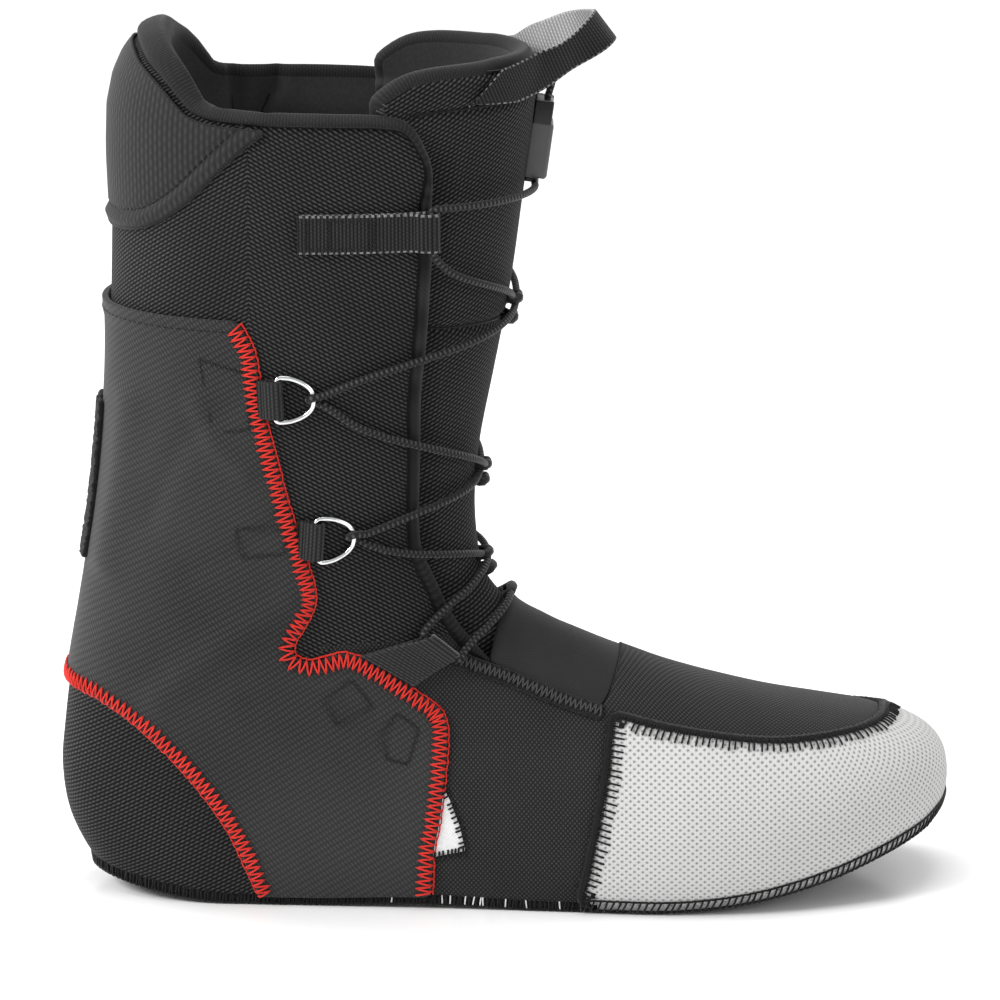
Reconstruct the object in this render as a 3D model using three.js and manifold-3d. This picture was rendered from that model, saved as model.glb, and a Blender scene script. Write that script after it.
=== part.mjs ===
// The padded inner boot of a snowboard boot, for the right foot.
// Units are millimetres. +X points to the toe, +Y to the medial side and +Z up.
// The origin is on the floor, under the middle of the ankle.
import * as THREE from "three";
import { mergeVertices } from "three/addons/utils/BufferGeometryUtils.js";
import Module from "manifold-3d";

const wasm = await Module();
wasm.setup();
const { Manifold, Mesh } = wasm;

// Driving sizes of the last
const footLength = 294; // heel bulge to toe tip
const heelReach = 63; // heel bulge behind the origin
const instepHeight = 96; // floor to the bend of the instep
const shaftHeight = 192; // bend of the instep to the top of the rear collar
const ballWidth = 101;
const heelWidth = 77;
const collarWidth = 106;
const toeSpring = 21.9;
const heelLift = 6;
const archLift = 1;

// Driving sizes of the layers
const shaftWall = 6; // foam and cloth of the shaft
const toeWall = 3.6; // foam and cloth of the toe
const cuffPadding = 7; // extra foam behind the calf
const soleThick = 3.4;
const soleRim = 0.9; // the sole stands this far out of the upper
const insoleThick = 5;
const tongueThick = 8.5;
const tongueTipThick = 3;
const tongueSink = 4.35; // face of the tongue below the last's surface, in the open shaft
const panelThick = 1.9; // instep panel
const panelSink = 0.2;
const capThick = 0.9; // toe cap cloth
const harnessThick = 1.6;
const cuffThick = 1.3;
const gap = 0.35; // between pieces that touch

// Driving sizes of the webbing, rings and lace
const webWidth = 12.7;
const webThick = 1.5;
const laceWidth = 2.5;
const ringWire = 1.7;
const ringDepth = 12.2; // straight bar to the top of the bow
const pullReach = 25.5; // pull loop, ahead of the front of the tongue
const pullSpan = 30; // between the two sides of the pull loop at the tongue
const pullFootLength = 20; // sewn end of the pull loop
const pullThick = 1.6;
const lockLength = 27;
const lockWidth = 15;
const lockDepth = 7.2;
const bindingWidth = 5.5; // soft edge in front of each flap
const bindingThick = 1.7;
const tabWidth = 20; // hook tape on the back of the harness
const tabThick = 1.8;

// Sections of the last, from above the collar round the heel to the toe tip. Each one lies in the
// plane through its front and back points. Places along the boot are shares of footLength from the
// heel bulge. A level is 0 at the floor, 1 at the instep bend and 2 at the top of the rear collar.
// lateral and medial are half widths and shift moves the section sideways, as shares of the width
// that each table is for. widest is where the section is widest, from back to front, and the
// powers set how square its two ends are. soft is 1 for the shaft's wall and 0 for the toe's, and
// pad is the share of cuffPadding.
const columns = [
  "frontAt", "frontLevel", "backAt", "backLevel", "lateral", "medial",
  "shift", "widest", "backPower", "frontPower", "soft", "pad",
];
const shaftSections = [
  [0.558, 2.115, 0.069, 2.115, 0.505, 0.505, 0, 0.47, 2.15, 2.2, 1, 1],
  [0.548, 1.868, 0.067, 1.865, 0.5, 0.5, 0, 0.47, 2.15, 2.2, 1, 1],
  [0.534, 1.708, 0.066, 1.677, 0.48, 0.48, 0, 0.47, 2.15, 2.2, 1, 0.45],
  [0.52, 1.552, 0.063, 1.5, 0.457, 0.457, 0, 0.46, 2.15, 2.2, 1, 0],
  [0.501, 1.396, 0.057, 1.323, 0.43, 0.43, 0, 0.46, 2.15, 2.2, 1, 0],
  [0.483, 1.266, 0.046, 1.167, 0.402, 0.402, 0, 0.45, 2.15, 2.2, 1, 0],
  [0.475, 1.167, 0.029, 1.01, 0.383, 0.383, 0, 0.45, 2.15, 2.15, 1, 0],
];
const heelSections = [
  [0.477, 1.089, 0.015, 0.781, 0.513, 0.513, 0, 0.44, 2.2, 2.1, 0.97, 0],
  [0.484, 1.046, 0.006, 0.573, 0.506, 0.5, 0, 0.43, 2.2, 2.1, 0.93, 0],
  [0.503, 1.007, 0.002, 0.396, 0.5, 0.487, 0, 0.41, 2.25, 2.1, 0.88, 0],
  [0.524, 0.966, 0.013, 0.219, 0.494, 0.48, 0, 0.39, 2.3, 2.1, 0.83, 0],
  [0.543, 0.936, 0.048, 0.042, 0.494, 0.474, 0, 0.37, 2.4, 2.1, 0.77, 0],
  [0.561, 0.908, 0.102, -0.094, 0.494, 0.468, 0, 0.36, 2.6, 2.1, 0.7, 0],
  [0.582, 0.881, 0.173, -0.104, 0.5, 0.461, 0, 0.35, 2.8, 2.1, 0.62, 0],
];
const foreSections = [
  [0.609, 0.846, 0.289, -0.104, 0.396, 0.351, 0, 0.35, 3, 2.1, 0.54, 0],
  [0.643, 0.805, 0.425, -0.104, 0.426, 0.366, 0, 0.36, 3, 2.1, 0.46, 0],
  [0.684, 0.756, 0.554, -0.104, 0.465, 0.416, 0, 0.37, 3, 2.1, 0.36, 0],
  [0.738, 0.702, 0.67, -0.1, 0.505, 0.475, 0.01, 0.38, 3, 2.1, 0.24, 0],
  [0.799, 0.652, 0.772, -0.078, 0.5, 0.47, 0.03, 0.4, 2.9, 2.1, 0.12, 0],
  [0.861, 0.613, 0.854, -0.021, 0.455, 0.426, 0.059, 0.42, 2.8, 2.15, 0, 0],
  [0.906, 0.585, 0.906, 0.036, 0.396, 0.366, 0.079, 0.44, 2.7, 2.2, 0, 0],
  [0.94, 0.549, 0.942, 0.089, 0.332, 0.312, 0.089, 0.46, 2.6, 2.2, 0, 0],
  [0.966, 0.511, 0.968, 0.146, 0.257, 0.248, 0.099, 0.48, 2.5, 2.2, 0, 0],
  [0.983, 0.471, 0.984, 0.214, 0.178, 0.173, 0.104, 0.5, 2.3, 2.2, 0, 0],
  [0.993, 0.423, 0.994, 0.292, 0.099, 0.099, 0.109, 0.5, 2.1, 2.1, 0, 0],
  [0.997, 0.36, 0.997, 0.36, 0, 0, 0.109, 0.5, 2, 2, 0, 0],
];

// Lines seen from the side, each point as [share of the length from the heel bulge, level].
const collarLine = [
  [-0.03, 1.9], [0.045, 1.925], [0.075, 1.955], [0.096, 1.976], [0.112, 1.975], [0.134, 1.952],
  [0.147, 1.921], [0.158, 1.901], [0.176, 1.889], [0.214, 1.884], [0.31, 1.88], [0.364, 1.872],
  [0.398, 1.853], [0.418, 1.814], [0.422, 1.765],
];
const throatLine = [
  [0.422, 1.765], [0.413, 1.71], [0.4085, 1.64], [0.402, 1.484], [0.396, 1.388], [0.3955, 1.283],
  [0.3946, 1.152], [0.4, 1.095], [0.417, 1.035], [0.4313, 0.975], [0.4578, 0.87], [0.5, 0.793],
  [0.561, 0.705], [0.602, 0.665],
];
const vampLine = [[0.602, 0.665], [0.616, 0.708], [0.632, 0.823], [0.645, 0.95]];
const tongueTopLine = [
  [0.356, 1.901], [0.391, 1.935], [0.43, 1.948], [0.493, 1.951], [0.522, 1.953], [0.62, 1.95],
];
const tongueRearLine = [
  [0.356, 1.901], [0.364, 1.771], [0.361, 1.505], [0.344, 1.281], [0.34, 1.141], [0.357, 1.073],
  [0.391, 0.99], [0.425, 0.854], [0.486, 0.729], [0.554, 0.646],
];
const panelRearLine = [[0.47, 0.66], [0.485, 0.844], [0.493, 0.927], [0.505, 1.016], [0.52, 1.1]];
const capTopLine = [
  [0.619, 0.656], [0.667, 0.619], [0.718, 0.591], [0.806, 0.553], [0.888, 0.554], [0.932, 0.567],
  [0.96, 0.585],
];
const capRearLine = [[0.583, -0.05], [0.583, 0.028], [0.597, 0.233], [0.611, 0.443], [0.619, 0.656]];
const cuffLine = [
  [-0.03, 1.668], [0.044, 1.664], [0.071, 1.66], [0.111, 1.676], [0.151, 1.72], [0.185, 1.774],
  [0.219, 1.826], [0.24, 1.85],
];
const cuffTopLine = [
  [-0.03, 1.88], [0.05, 1.903], [0.08, 1.932], [0.1, 1.944], [0.115, 1.94], [0.13, 1.92],
  [0.144, 1.896], [0.16, 1.877], [0.187, 1.868], [0.24, 1.861],
];
const harnessFrontLine = [
  [0.209, 1.531], [0.227, 1.477], [0.234, 1.391], [0.247, 1.304], [0.261, 1.216], [0.274, 1.145],
  [0.287, 1.076], [0.29, 1.041], [0.279, 0.994], [0.265, 0.924], [0.27, 0.878], [0.289, 0.865],
  [0.323, 0.888], [0.362, 0.828], [0.4, 0.741], [0.428, 0.675], [0.436, 0.592], [0.433, 0.453],
  [0.428, 0.312], [0.42, 0.171], [0.417, -0.1],
];
const harnessHeelLine = [
  [0.235, -0.1], [0.229, 0], [0.211, 0.146], [0.189, 0.289], [0.161, 0.411], [0.128, 0.527],
  [0.088, 0.636], [0.048, 0.703], [0.016, 0.716], [-0.03, 0.722],
];

const gorePoints = [[0.335, 0.875], [0.395, 0.755], [0.44, 0.84], [0.407, 0.925]];

// Places of the small pieces, seen from the side
const harnessTop = 1.531;
const strapRear = 0.277;
const strapEnd = [0.416, 1.682];
const ringPlaces = {
  upper: { bar: [0.25, 1.398], turn: 2 },
  lower: { bar: [0.292, 1.148], turn: -4 },
};
const goreEnds = [[0.407, 0.925], [0.44, 0.84]];
const crossLevels = { high: 1.518, middle: 1.228, low: 1.072 };
const barLevel = 1.01;
const lockLevel = 1.797;
const tetherLevel = 1.93; // upper end of the lock's cord
const pullLevel = 1.935;
const pullAt = [0.4966, 1.908]; // middle of each sewn end
const pullTilt = 27; // degrees above the horizontal
const tabLevels = [1.078, 1.349];
const soleBreaks = { heel: 0.197, archStart: 0.27, archEnd: 0.54, toe: 0.657, toeTip: 0.988 };

const tau = Math.PI * 2;
const clamp = (value, low, high) => Math.min(high, Math.max(low, value));
const smooth = (t) => {
  const c = clamp(t, 0, 1);
  return c * c * (3 - 2 * c);
};
const mix = (a, b, t) => a + (b - a) * t;

const alongX = (share) => share * footLength - heelReach;
const levelZ = (level) =>
  level <= 1 ? level * instepHeight : instepHeight + (level - 1) * shaftHeight;
const sidePoint = ([share, level]) => new THREE.Vector2(alongX(share), levelZ(level));

// One table row with its shares turned into millimetres.
function section(values, width) {
  const row = Object.fromEntries(columns.map((name, i) => [name, values[i]]));
  return {
    frontX: alongX(row.frontAt),
    frontZ: levelZ(row.frontLevel),
    backX: alongX(row.backAt),
    backZ: levelZ(row.backLevel),
    lateral: row.lateral * width,
    medial: row.medial * width,
    shift: row.shift * width,
    widest: row.widest,
    backPower: row.backPower,
    frontPower: row.frontPower,
    soft: row.soft,
    pad: row.pad,
  };
}
const sections = [
  ...shaftSections.map((row) => section(row, collarWidth)),
  ...heelSections.map((row) => section(row, heelWidth)),
  ...foreSections.map((row) => section(row, ballWidth)),
];
const lastSection = sections.length - 1;

// A section between two rows of the tables, on a smooth curve through them.
function sectionAt(station) {
  const s = clamp(station, 0, lastSection);
  const i = Math.min(Math.floor(s), lastSection - 1);
  const t = s - i;
  const rows = [i - 1, i, i + 1, i + 2].map((k) => sections[clamp(k, 0, lastSection)]);
  const result = {};
  for (const key of Object.keys(rows[1])) {
    const [a, b, c, d] = rows.map((row) => row[key]);
    const curve = 2 * a - 5 * b + 4 * c - d;
    const twist = 3 * b - a - 3 * c + d;
    result[key] = b + 0.5 * t * (c - a + t * (curve + t * twist));
  }
  return result;
}

// A point on the last. angle is 0 at the back or underneath, PI at the front or on top, and
// negative on the lateral side.
function lastPoint(station, angle) {
  const row = sectionAt(station);
  const c = Math.cos(angle);
  const s = Math.abs(Math.sin(angle));
  const power = c > 0 ? row.backPower : row.frontPower;
  const reach = Math.pow(Math.pow(Math.abs(c), power) + Math.pow(s, power), -1 / power);
  const share = row.widest - (c > 0 ? row.widest : 1 - row.widest) * reach * c;
  const half = Math.sin(angle) < 0 ? -row.lateral : row.medial;
  return new THREE.Vector3(
    mix(row.backX, row.frontX, share),
    row.shift + half * reach * s,
    mix(row.backZ, row.frontZ, share),
  );
}

function lastNormal(station, angle) {
  if (station >= lastSection) return new THREE.Vector3(1, 0, 0);
  const step = 0.02;
  const along = lastPoint(station + step, angle).sub(lastPoint(station - step, angle));
  const around = lastPoint(station, angle + step).sub(lastPoint(station, angle - step));
  return around.cross(along).normalize();
}

const onLast = (station, angle, lift) =>
  lastPoint(station, angle).addScaledVector(lastNormal(station, angle), lift);

// Wall of the upper, thicker behind the calf.
function wallAt(station, angle) {
  const row = sectionAt(station);
  const behind = Math.max(0, Math.cos(angle));
  return mix(toeWall, shaftWall, row.soft) + cuffPadding * row.pad * behind * behind;
}

const smoothLine = (points, steps = 2) =>
  new THREE.SplineCurve(points.map(sidePoint)).getPoints((points.length - 1) * steps);

// Signed distance in front of the throat's edge, seen from the side.
const throatCurve = smoothLine(throatLine);
function aheadOfThroat(point) {
  let best = Infinity;
  let sign = 1;
  for (let i = 1; i < throatCurve.length; i++) {
    const a = throatCurve[i - 1];
    const b = throatCurve[i];
    const run = b.clone().sub(a);
    const to = new THREE.Vector2(point.x, point.z).sub(a);
    const t = clamp(to.dot(run) / run.lengthSq(), 0, 1);
    const distance = to.clone().addScaledVector(run, -t).length();
    if (distance < best) {
      best = distance;
      sign = Math.sign(run.x * to.y - run.y * to.x) || 1;
    }
  }
  return best * sign;
}

// The tongue's outer face lies under the wall and swells where the throat is open. At the bend
// it comes up to the instep panel.
const swellRun = 9;
const bendStations = [4, 7];
function tongueDrop(station, angle) {
  const ahead = aheadOfThroat(lastPoint(station, angle));
  const bend = smooth((station - bendStations[0]) / (bendStations[1] - bendStations[0]));
  const open = mix(tongueSink, panelSink + panelThick + gap, bend);
  return mix(wallAt(station, angle) + gap, open, smooth((ahead - bindingWidth / 2) / swellRun));
}
const tongueBack = (station, angle) =>
  tongueDrop(station, angle) + mix(tongueTipThick, tongueThick, smooth(sectionAt(station).soft * 2 - 1));

// Closed solids from vertices and triangles
function solidFrom(positions, triangles) {
  const mesh = new Mesh({
    numProp: 3,
    vertProperties: new Float32Array(positions),
    triVerts: new Uint32Array(triangles),
  });
  return new Manifold(mesh);
}

function solidOf(geometry) {
  const plain = geometry.clone();
  plain.deleteAttribute("normal");
  plain.deleteAttribute("uv");
  const merged = mergeVertices(plain, 1e-3);
  const solid = solidFrom(merged.attributes.position.array, merged.index.array);
  if (solid.volume() > 0) return solid;
  return solidFrom(merged.attributes.position.array, Array.from(merged.index.array).reverse());
}

// The whole last, moved in or out by lift, as a closed solid.
const aroundCount = 24;
const heelRun = [7, 13]; // sections with a ring halfway to the next, round the heel
const ringStations = [];
for (let station = 0; station < lastSection; station++) {
  ringStations.push(station);
  if (station >= heelRun[0] && station < heelRun[1]) ringStations.push(station + 0.5);
}
function lastSolid(lift) {
  const rings = ringStations.length;
  const positions = [];
  for (const station of ringStations) {
    for (let j = 0; j < aroundCount; j++) {
      const angle = (j / aroundCount) * tau - Math.PI;
      positions.push(...onLast(station, angle, lift(station, angle)));
    }
  }
  const tip = positions.length / 3;
  positions.push(...onLast(lastSection, 0, lift(lastSection, 0)));
  const top = sections[0];
  positions.push((top.frontX + top.backX) / 2, top.shift, (top.frontZ + top.backZ) / 2);
  const triangles = [];
  for (let j = 0; j < aroundCount; j++) {
    const next = (j + 1) % aroundCount;
    for (let i = 0; i < rings - 1; i++) {
      const a = i * aroundCount;
      const b = a + aroundCount;
      triangles.push(a + j, a + next, b + j, b + j, a + next, b + next);
    }
    const end = (rings - 1) * aroundCount;
    triangles.push(end + j, end + next, tip);
    triangles.push(j, tip + 1, next);
  }
  return solidFrom(positions, triangles);
}
const lastAt = (lift) => lastSolid(() => lift);
const layer = (outer, inner) => lastAt(outer).subtract(lastAt(inner));

// A side outline pushed right through the boot, from one side to the other.
const throughSpan = 240;
function through(points, from = -throughSpan / 2, to = throughSpan / 2) {
  const geometry = new THREE.ExtrudeGeometry(new THREE.Shape(points), {
    depth: to - from,
    bevelEnabled: false,
  });
  geometry.rotateX(Math.PI / 2);
  geometry.translate(0, to, 0);
  return solidOf(geometry);
}

// The sole's lower face, seen from the side.
function groundLine(x) {
  const heelX = alongX(soleBreaks.heel);
  const toeX = alongX(soleBreaks.toe);
  const archStart = alongX(soleBreaks.archStart);
  const archEnd = alongX(soleBreaks.archEnd);
  if (x < heelX) return heelLift * Math.pow((heelX - x) / (heelX + heelReach - 13), 1.6);
  if (x > toeX) return toeSpring * Math.pow((x - toeX) / (alongX(soleBreaks.toeTip) - toeX), 2);
  if (x < archStart || x > archEnd) return 0;
  const wave = Math.sin(((x - archStart) / (archEnd - archStart)) * Math.PI);
  return archLift * wave * wave;
}
const floorSteps = 32;
const floorReach = 12;
function groundSlab(from, to) {
  const line = [];
  for (let i = 0; i <= floorSteps; i++) {
    const x = mix(-heelReach - floorReach, footLength - heelReach + floorReach, i / floorSteps);
    line.push(new THREE.Vector2(x, groundLine(x)));
  }
  const raised = (lift) => line.map((p) => new THREE.Vector2(p.x, p.y + lift));
  return through([...raised(from), ...raised(to).reverse()]);
}
const deep = 60; // past the lowest point of the last

// A line moved sideways, to its left for a positive distance.
function moved(points, distance) {
  return points.map((point, i) => {
    const before = points[Math.max(0, i - 1)];
    const after = points[Math.min(points.length - 1, i + 1)];
    const run = after.clone().sub(before).normalize();
    return new THREE.Vector2(point.x - run.y * distance, point.y + run.x * distance);
  });
}

// A closed outline made larger all round.
function grown(points, distance) {
  const way = THREE.ShapeUtils.area(points) > 0 ? -distance : distance;
  return points.map((point, i) => {
    const before = points[(i + points.length - 1) % points.length];
    const after = points[(i + 1) % points.length];
    const run = after.clone().sub(before).normalize();
    return new THREE.Vector2(point.x - run.y * way, point.y + run.x * way);
  });
}

// Outlines seen from the side
const roof = levelZ(2.2);
const cellar = levelZ(-0.2);
const farFront = alongX(1.1);
const farBack = alongX(-0.1);
const corners = (...points) => points.map(([x, z]) => new THREE.Vector2(x, z));
const collarCurve = smoothLine(collarLine);
const vampCurve = smoothLine(vampLine);
const openingEdge = [...collarCurve, ...throatCurve.slice(1), ...vampCurve.slice(1)];
const openingFrom = (edge) => [
  ...edge,
  ...corners([farFront, edge.at(-1).y], [farFront, roof], [farBack, roof]),
];
const tongueOutline = [
  ...smoothLine(tongueTopLine),
  ...corners([farFront, levelZ(1.95)], [farFront, levelZ(0.7)], [alongX(0.63), levelZ(0.66)]),
  ...smoothLine(tongueRearLine).reverse().slice(0, -1),
];
const aheadOf = (line) => [...line, ...corners([farFront, line.at(-1).y], [farFront, line[0].y])];
const bindingRoot = 1.5; // the soft edge starts inside the wall
const boundEdge = throatCurve.filter((p) => p.x < sidePoint(panelRearLine[1]).x - gap - 0.5);
const bindingOutline = [
  ...moved(boundEdge, -bindingRoot),
  ...moved(boundEdge, bindingWidth).reverse(),
];
const capOutline = [
  ...smoothLine(capRearLine),
  ...smoothLine(capTopLine).slice(1),
  ...corners([farFront, levelZ(capTopLine.at(-1)[1])], [farFront, levelZ(capRearLine[0][1])]),
];
const cuffOutline = [...smoothLine(cuffLine), ...smoothLine(cuffTopLine).reverse()];
const harnessOutline = [
  ...corners([farBack, levelZ(harnessTop)]),
  ...smoothLine(harnessFrontLine, 2),
  ...smoothLine(harnessHeelLine, 2),
  ...corners([farBack, levelZ(harnessHeelLine.at(-1)[1])]),
];

const halfSpan = { lateral: [-throughSpan / 2, 0], medial: [0, throughSpan / 2] };
const sides = { lateral: -1, medial: 1 };

// Where a point of the side view lies on the last: its section and its angle.
function placeOf(x, z, side) {
  const across = (station) => {
    const row = sectionAt(station);
    const runX = row.frontX - row.backX;
    const runZ = row.frontZ - row.backZ;
    return (x - row.backX) * runZ - (z - row.backZ) * runX;
  };
  let low = 0;
  let top = lastSection - 0.2;
  const lowSign = Math.sign(across(low));
  for (let i = 0; i < 40; i++) {
    const middle = (low + top) / 2;
    if (Math.sign(across(middle)) === lowSign) low = middle;
    else top = middle;
  }
  const station = (low + top) / 2;
  const row = sectionAt(station);
  const run = new THREE.Vector2(row.frontX - row.backX, row.frontZ - row.backZ);
  const share = clamp(new THREE.Vector2(x - row.backX, z - row.backZ).dot(run) / run.lengthSq(), 0, 1);
  const behind = share < row.widest;
  const reach = Math.abs(share - row.widest) / (behind ? row.widest : 1 - row.widest);
  const power = behind ? row.backPower : row.frontPower;
  const aside = Math.pow(Math.max(0, 1 - Math.pow(reach, power)), 1 / power);
  const angle = Math.atan2(aside, behind ? reach : -reach);
  return { station, angle: side < 0 ? tau - angle : angle };
}
const spotOf = ([share, level], side, lift) => ({
  ...placeOf(alongX(share), levelZ(level), side),
  lift,
});

// The front of the last at a level
function frontSpot(level, lift) {
  const z = levelZ(level);
  let low = 0;
  let top = lastSection - 1;
  for (let i = 0; i < 40; i++) {
    const middle = (low + top) / 2;
    if (sectionAt(middle).frontZ > z) low = middle;
    else top = middle;
  }
  return { station: (low + top) / 2, angle: Math.PI, lift };
}

// Local axes at a spot: forwards, upwards and outwards.
function frameOf(spot, turn = 0) {
  const at = onLast(spot.station, spot.angle, spot.lift);
  const outward = lastNormal(spot.station, spot.angle);
  const upward = new THREE.Vector3(0, 0, 1).addScaledVector(outward, -outward.z).normalize();
  const forward = upward.clone().cross(outward);
  if (forward.x < 0) forward.negate();
  const spin = THREE.MathUtils.degToRad(turn);
  const up = upward.clone().multiplyScalar(Math.cos(spin)).addScaledVector(forward, Math.sin(spin));
  const ahead = forward.clone().multiplyScalar(Math.cos(spin)).addScaledVector(upward, -Math.sin(spin));
  return new THREE.Matrix4().makeBasis(ahead, up, outward).setPosition(at);
}
const placed = (solid, frame) => solid.transform(frame.elements);

// A round or flat bar swept along a smooth line
const roundShape = (radius, corners) => {
  const shape = new THREE.Shape();
  for (let i = 0; i < corners; i++) {
    const angle = ((i + 0.5) / corners) * tau;
    const x = radius * Math.cos(angle);
    const y = radius * Math.sin(angle);
    if (i === 0) shape.moveTo(x, y);
    else shape.lineTo(x, y);
  }
  return shape;
};
function rod(points, radius, steps, corners = 6) {
  const path = new THREE.CatmullRomCurve3(points);
  const geometry = new THREE.ExtrudeGeometry(roundShape(radius, corners), {
    steps,
    bevelEnabled: false,
    extrudePath: path,
  });
  return solidOf(geometry);
}
const prism = (shape, depth) => {
  const geometry = new THREE.ExtrudeGeometry(shape, { depth, bevelEnabled: false, curveSegments: 3 });
  geometry.translate(0, 0, -depth / 2);
  return solidOf(geometry);
};

const solids = {};
const openingCut = through(openingFrom(openingEdge));
const clearOpening = through(openingFrom(moved(openingEdge, gap)));
const underUpper = groundSlab(-deep, soleThick + gap);

// Upper, sole and insole
const lastOutside = lastAt(0);
const lastInside = lastSolid((station, angle) => -wallAt(station, angle));
const underWall = lastSolid((station, angle) => -wallAt(station, angle) - gap);
const binding = layer(-panelSink, -panelSink - bindingThick).intersect(through(bindingOutline));
solids.upper = lastOutside
  .subtract(lastInside)
  .subtract(openingCut)
  .add(binding)
  .subtract(underUpper);
solids.sole = lastAt(soleRim).intersect(groundSlab(0, soleThick));
solids.insole = underWall.intersect(groundSlab(soleThick + gap, soleThick + gap + insoleThick));

// Tongue and instep panel
solids.tongue = lastSolid((station, angle) => -tongueDrop(station, angle))
  .intersect(underWall.add(clearOpening))
  .subtract(lastSolid((station, angle) => -tongueBack(station, angle)))
  .intersect(through(tongueOutline));
const panelFront = smoothLine(panelRearLine);
const panelLayer = layer(-panelSink, -panelSink - panelThick);
solids.instep_panel = panelLayer.intersect(clearOpening).intersect(through(aheadOf(panelFront)));

// Toe cap, cuff panel and heel harness
solids.toe_cap = layer(gap + capThick, gap).intersect(through(capOutline)).subtract(underUpper);
solids.cuff_panel = layer(gap + cuffThick, gap).intersect(through(cuffOutline));
const harnessLayer = layer(gap + harnessThick, gap);
const harnessRegion = through(harnessOutline);
const harnessClear = through(grown(harnessOutline, gap));
solids.heel_harness = harnessLayer.intersect(harnessRegion).subtract(underUpper);
const tabLift = gap * 2 + harnessThick;
const tabBox = through(
  corners(
    [farBack, levelZ(tabLevels[0])], [alongX(0.1), levelZ(tabLevels[0])],
    [alongX(0.1), levelZ(tabLevels[1])], [farBack, levelZ(tabLevels[1])],
  ),
  -tabWidth / 2,
  tabWidth / 2,
);
solids.heel_tab = layer(tabLift + tabThick, tabLift).intersect(tabBox);

// Webbing: a strip on the wall with a rolled end that something passes through
const webLayer = layer(gap + webThick, gap);
const laceRadius = laceWidth / 2;
const laceBore = laceRadius + gap;
const ringBore = ringWire / 2 + gap;
const rollThick = 1.1;
const rollLift = (bore) => gap + bore + rollThick;
function roll(frame, bore) {
  const shape = roundShape(bore + rollThick, 8);
  shape.holes.push(roundShape(bore, 8));
  const local = prism(shape, webWidth).rotate([90, 0, 0]);
  return placed(local, frame);
}
function bore(frame, radius) {
  return placed(prism(roundShape(radius, 8), webWidth * 2).rotate([90, 0, 0]), frame);
}
const strip = (outline, side) => webLayer.intersect(through(outline, ...halfSpan[side]));
const halfWeb = webWidth / 2;

for (const [side, sign] of Object.entries(sides)) {
  // Strap at the top of the flap
  const strapFrame = frameOf(spotOf(strapEnd, sign, rollLift(laceBore)));
  const strapX = alongX(strapEnd[0]);
  const strapZ = levelZ(strapEnd[1]);
  const strapOutline = corners(
    [alongX(strapRear), strapZ - halfWeb], [strapX, strapZ - halfWeb],
    [strapX, strapZ + halfWeb], [alongX(strapRear), strapZ + halfWeb],
  );
  solids["lace_strap_" + side] = strip(strapOutline, side)
    .add(roll(strapFrame, laceBore))
    .subtract(bore(strapFrame, laceBore));

  // D-rings on their tabs
  for (const [name, place] of Object.entries(ringPlaces)) {
    const frame = frameOf(spotOf(place.bar, sign, rollLift(ringBore)), place.turn);
    const x = alongX(place.bar[0]);
    const z = levelZ(place.bar[1]);
    const tabOutline = corners(
      [x - 14, z - halfWeb], [x, z - halfWeb], [x, z + halfWeb], [x - 14, z + halfWeb],
    );
    solids["ring_tab_" + name + "_" + side] = strip(tabOutline, side)
      .subtract(harnessClear)
      .add(roll(frame, ringBore).subtract(harnessClear))
      .subtract(bore(frame, ringBore));
    const half = webWidth / 2 + ringWire / 2 + gap;
    const bow = [];
    for (let i = 0; i <= 8; i++) {
      const turn = (i / 8 - 0.5) * Math.PI;
      bow.push(new THREE.Vector3(ringDepth * Math.cos(turn), half * Math.sin(turn), 0));
    }
    const ends = [new THREE.Vector3(0, -half, 0), new THREE.Vector3(0, half, 0)];
    const ring = rod(bow, ringWire / 2, 9).add(rod(ends, ringWire / 2, 1));
    solids["d_ring_" + name + "_" + side] = placed(ring, frame);
  }

  // Gore above the harness with its lace loop
  const [goreTop, goreFoot] = goreEnds;
  const goreMiddle = [(goreTop[0] + goreFoot[0]) / 2, (goreTop[1] + goreFoot[1]) / 2];
  const goreRun = sidePoint(goreFoot).sub(sidePoint(goreTop));
  const goreTurn = THREE.MathUtils.radToDeg(Math.atan2(-goreRun.x, -goreRun.y)) ;
  const goreFrame = frameOf(spotOf(goreMiddle, sign, rollLift(laceBore)), goreTurn);
  solids["lower_loop_" + side] = strip(gorePoints.map(sidePoint), side)
    .subtract(harnessClear)
    .add(roll(goreFrame, laceBore))
    .subtract(bore(goreFrame, laceBore));
}

// Front of the tongue: cord lock and its cord, lace crossings, pull loop
const lockLift = -tongueSink + gap + lockDepth / 2;
const lockFrame = frameOf(frontSpot(lockLevel, lockLift));
const onTongue = laceRadius + gap - tongueSink;
const lockShape = new THREE.Shape();
lockShape.moveTo(-lockWidth / 2, -lockDepth / 2);
lockShape.lineTo(lockWidth / 2, -lockDepth / 2);
lockShape.lineTo(lockWidth / 2 - 0.8, lockDepth / 2 - 2);
lockShape.quadraticCurveTo(lockWidth / 2 - 1.5, lockDepth / 2, lockWidth / 2 - 4, lockDepth / 2);
lockShape.lineTo(4 - lockWidth / 2, lockDepth / 2);
lockShape.quadraticCurveTo(1.5 - lockWidth / 2, lockDepth / 2, 0.8 - lockWidth / 2, lockDepth / 2 - 2);
solids.cord_lock = placed(prism(lockShape, lockLength).rotate([90, 0, 0]), lockFrame);

function laceAlong(spots, steps) {
  const path = new THREE.CatmullRomCurve3(
    spots.map((spot) => new THREE.Vector3(spot.station, spot.angle, spot.lift)),
  );
  const points = path.getPoints(spots.length * 2).map((p) => onLast(p.x, p.y, p.z));
  return rod(points, laceRadius, steps);
}

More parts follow.
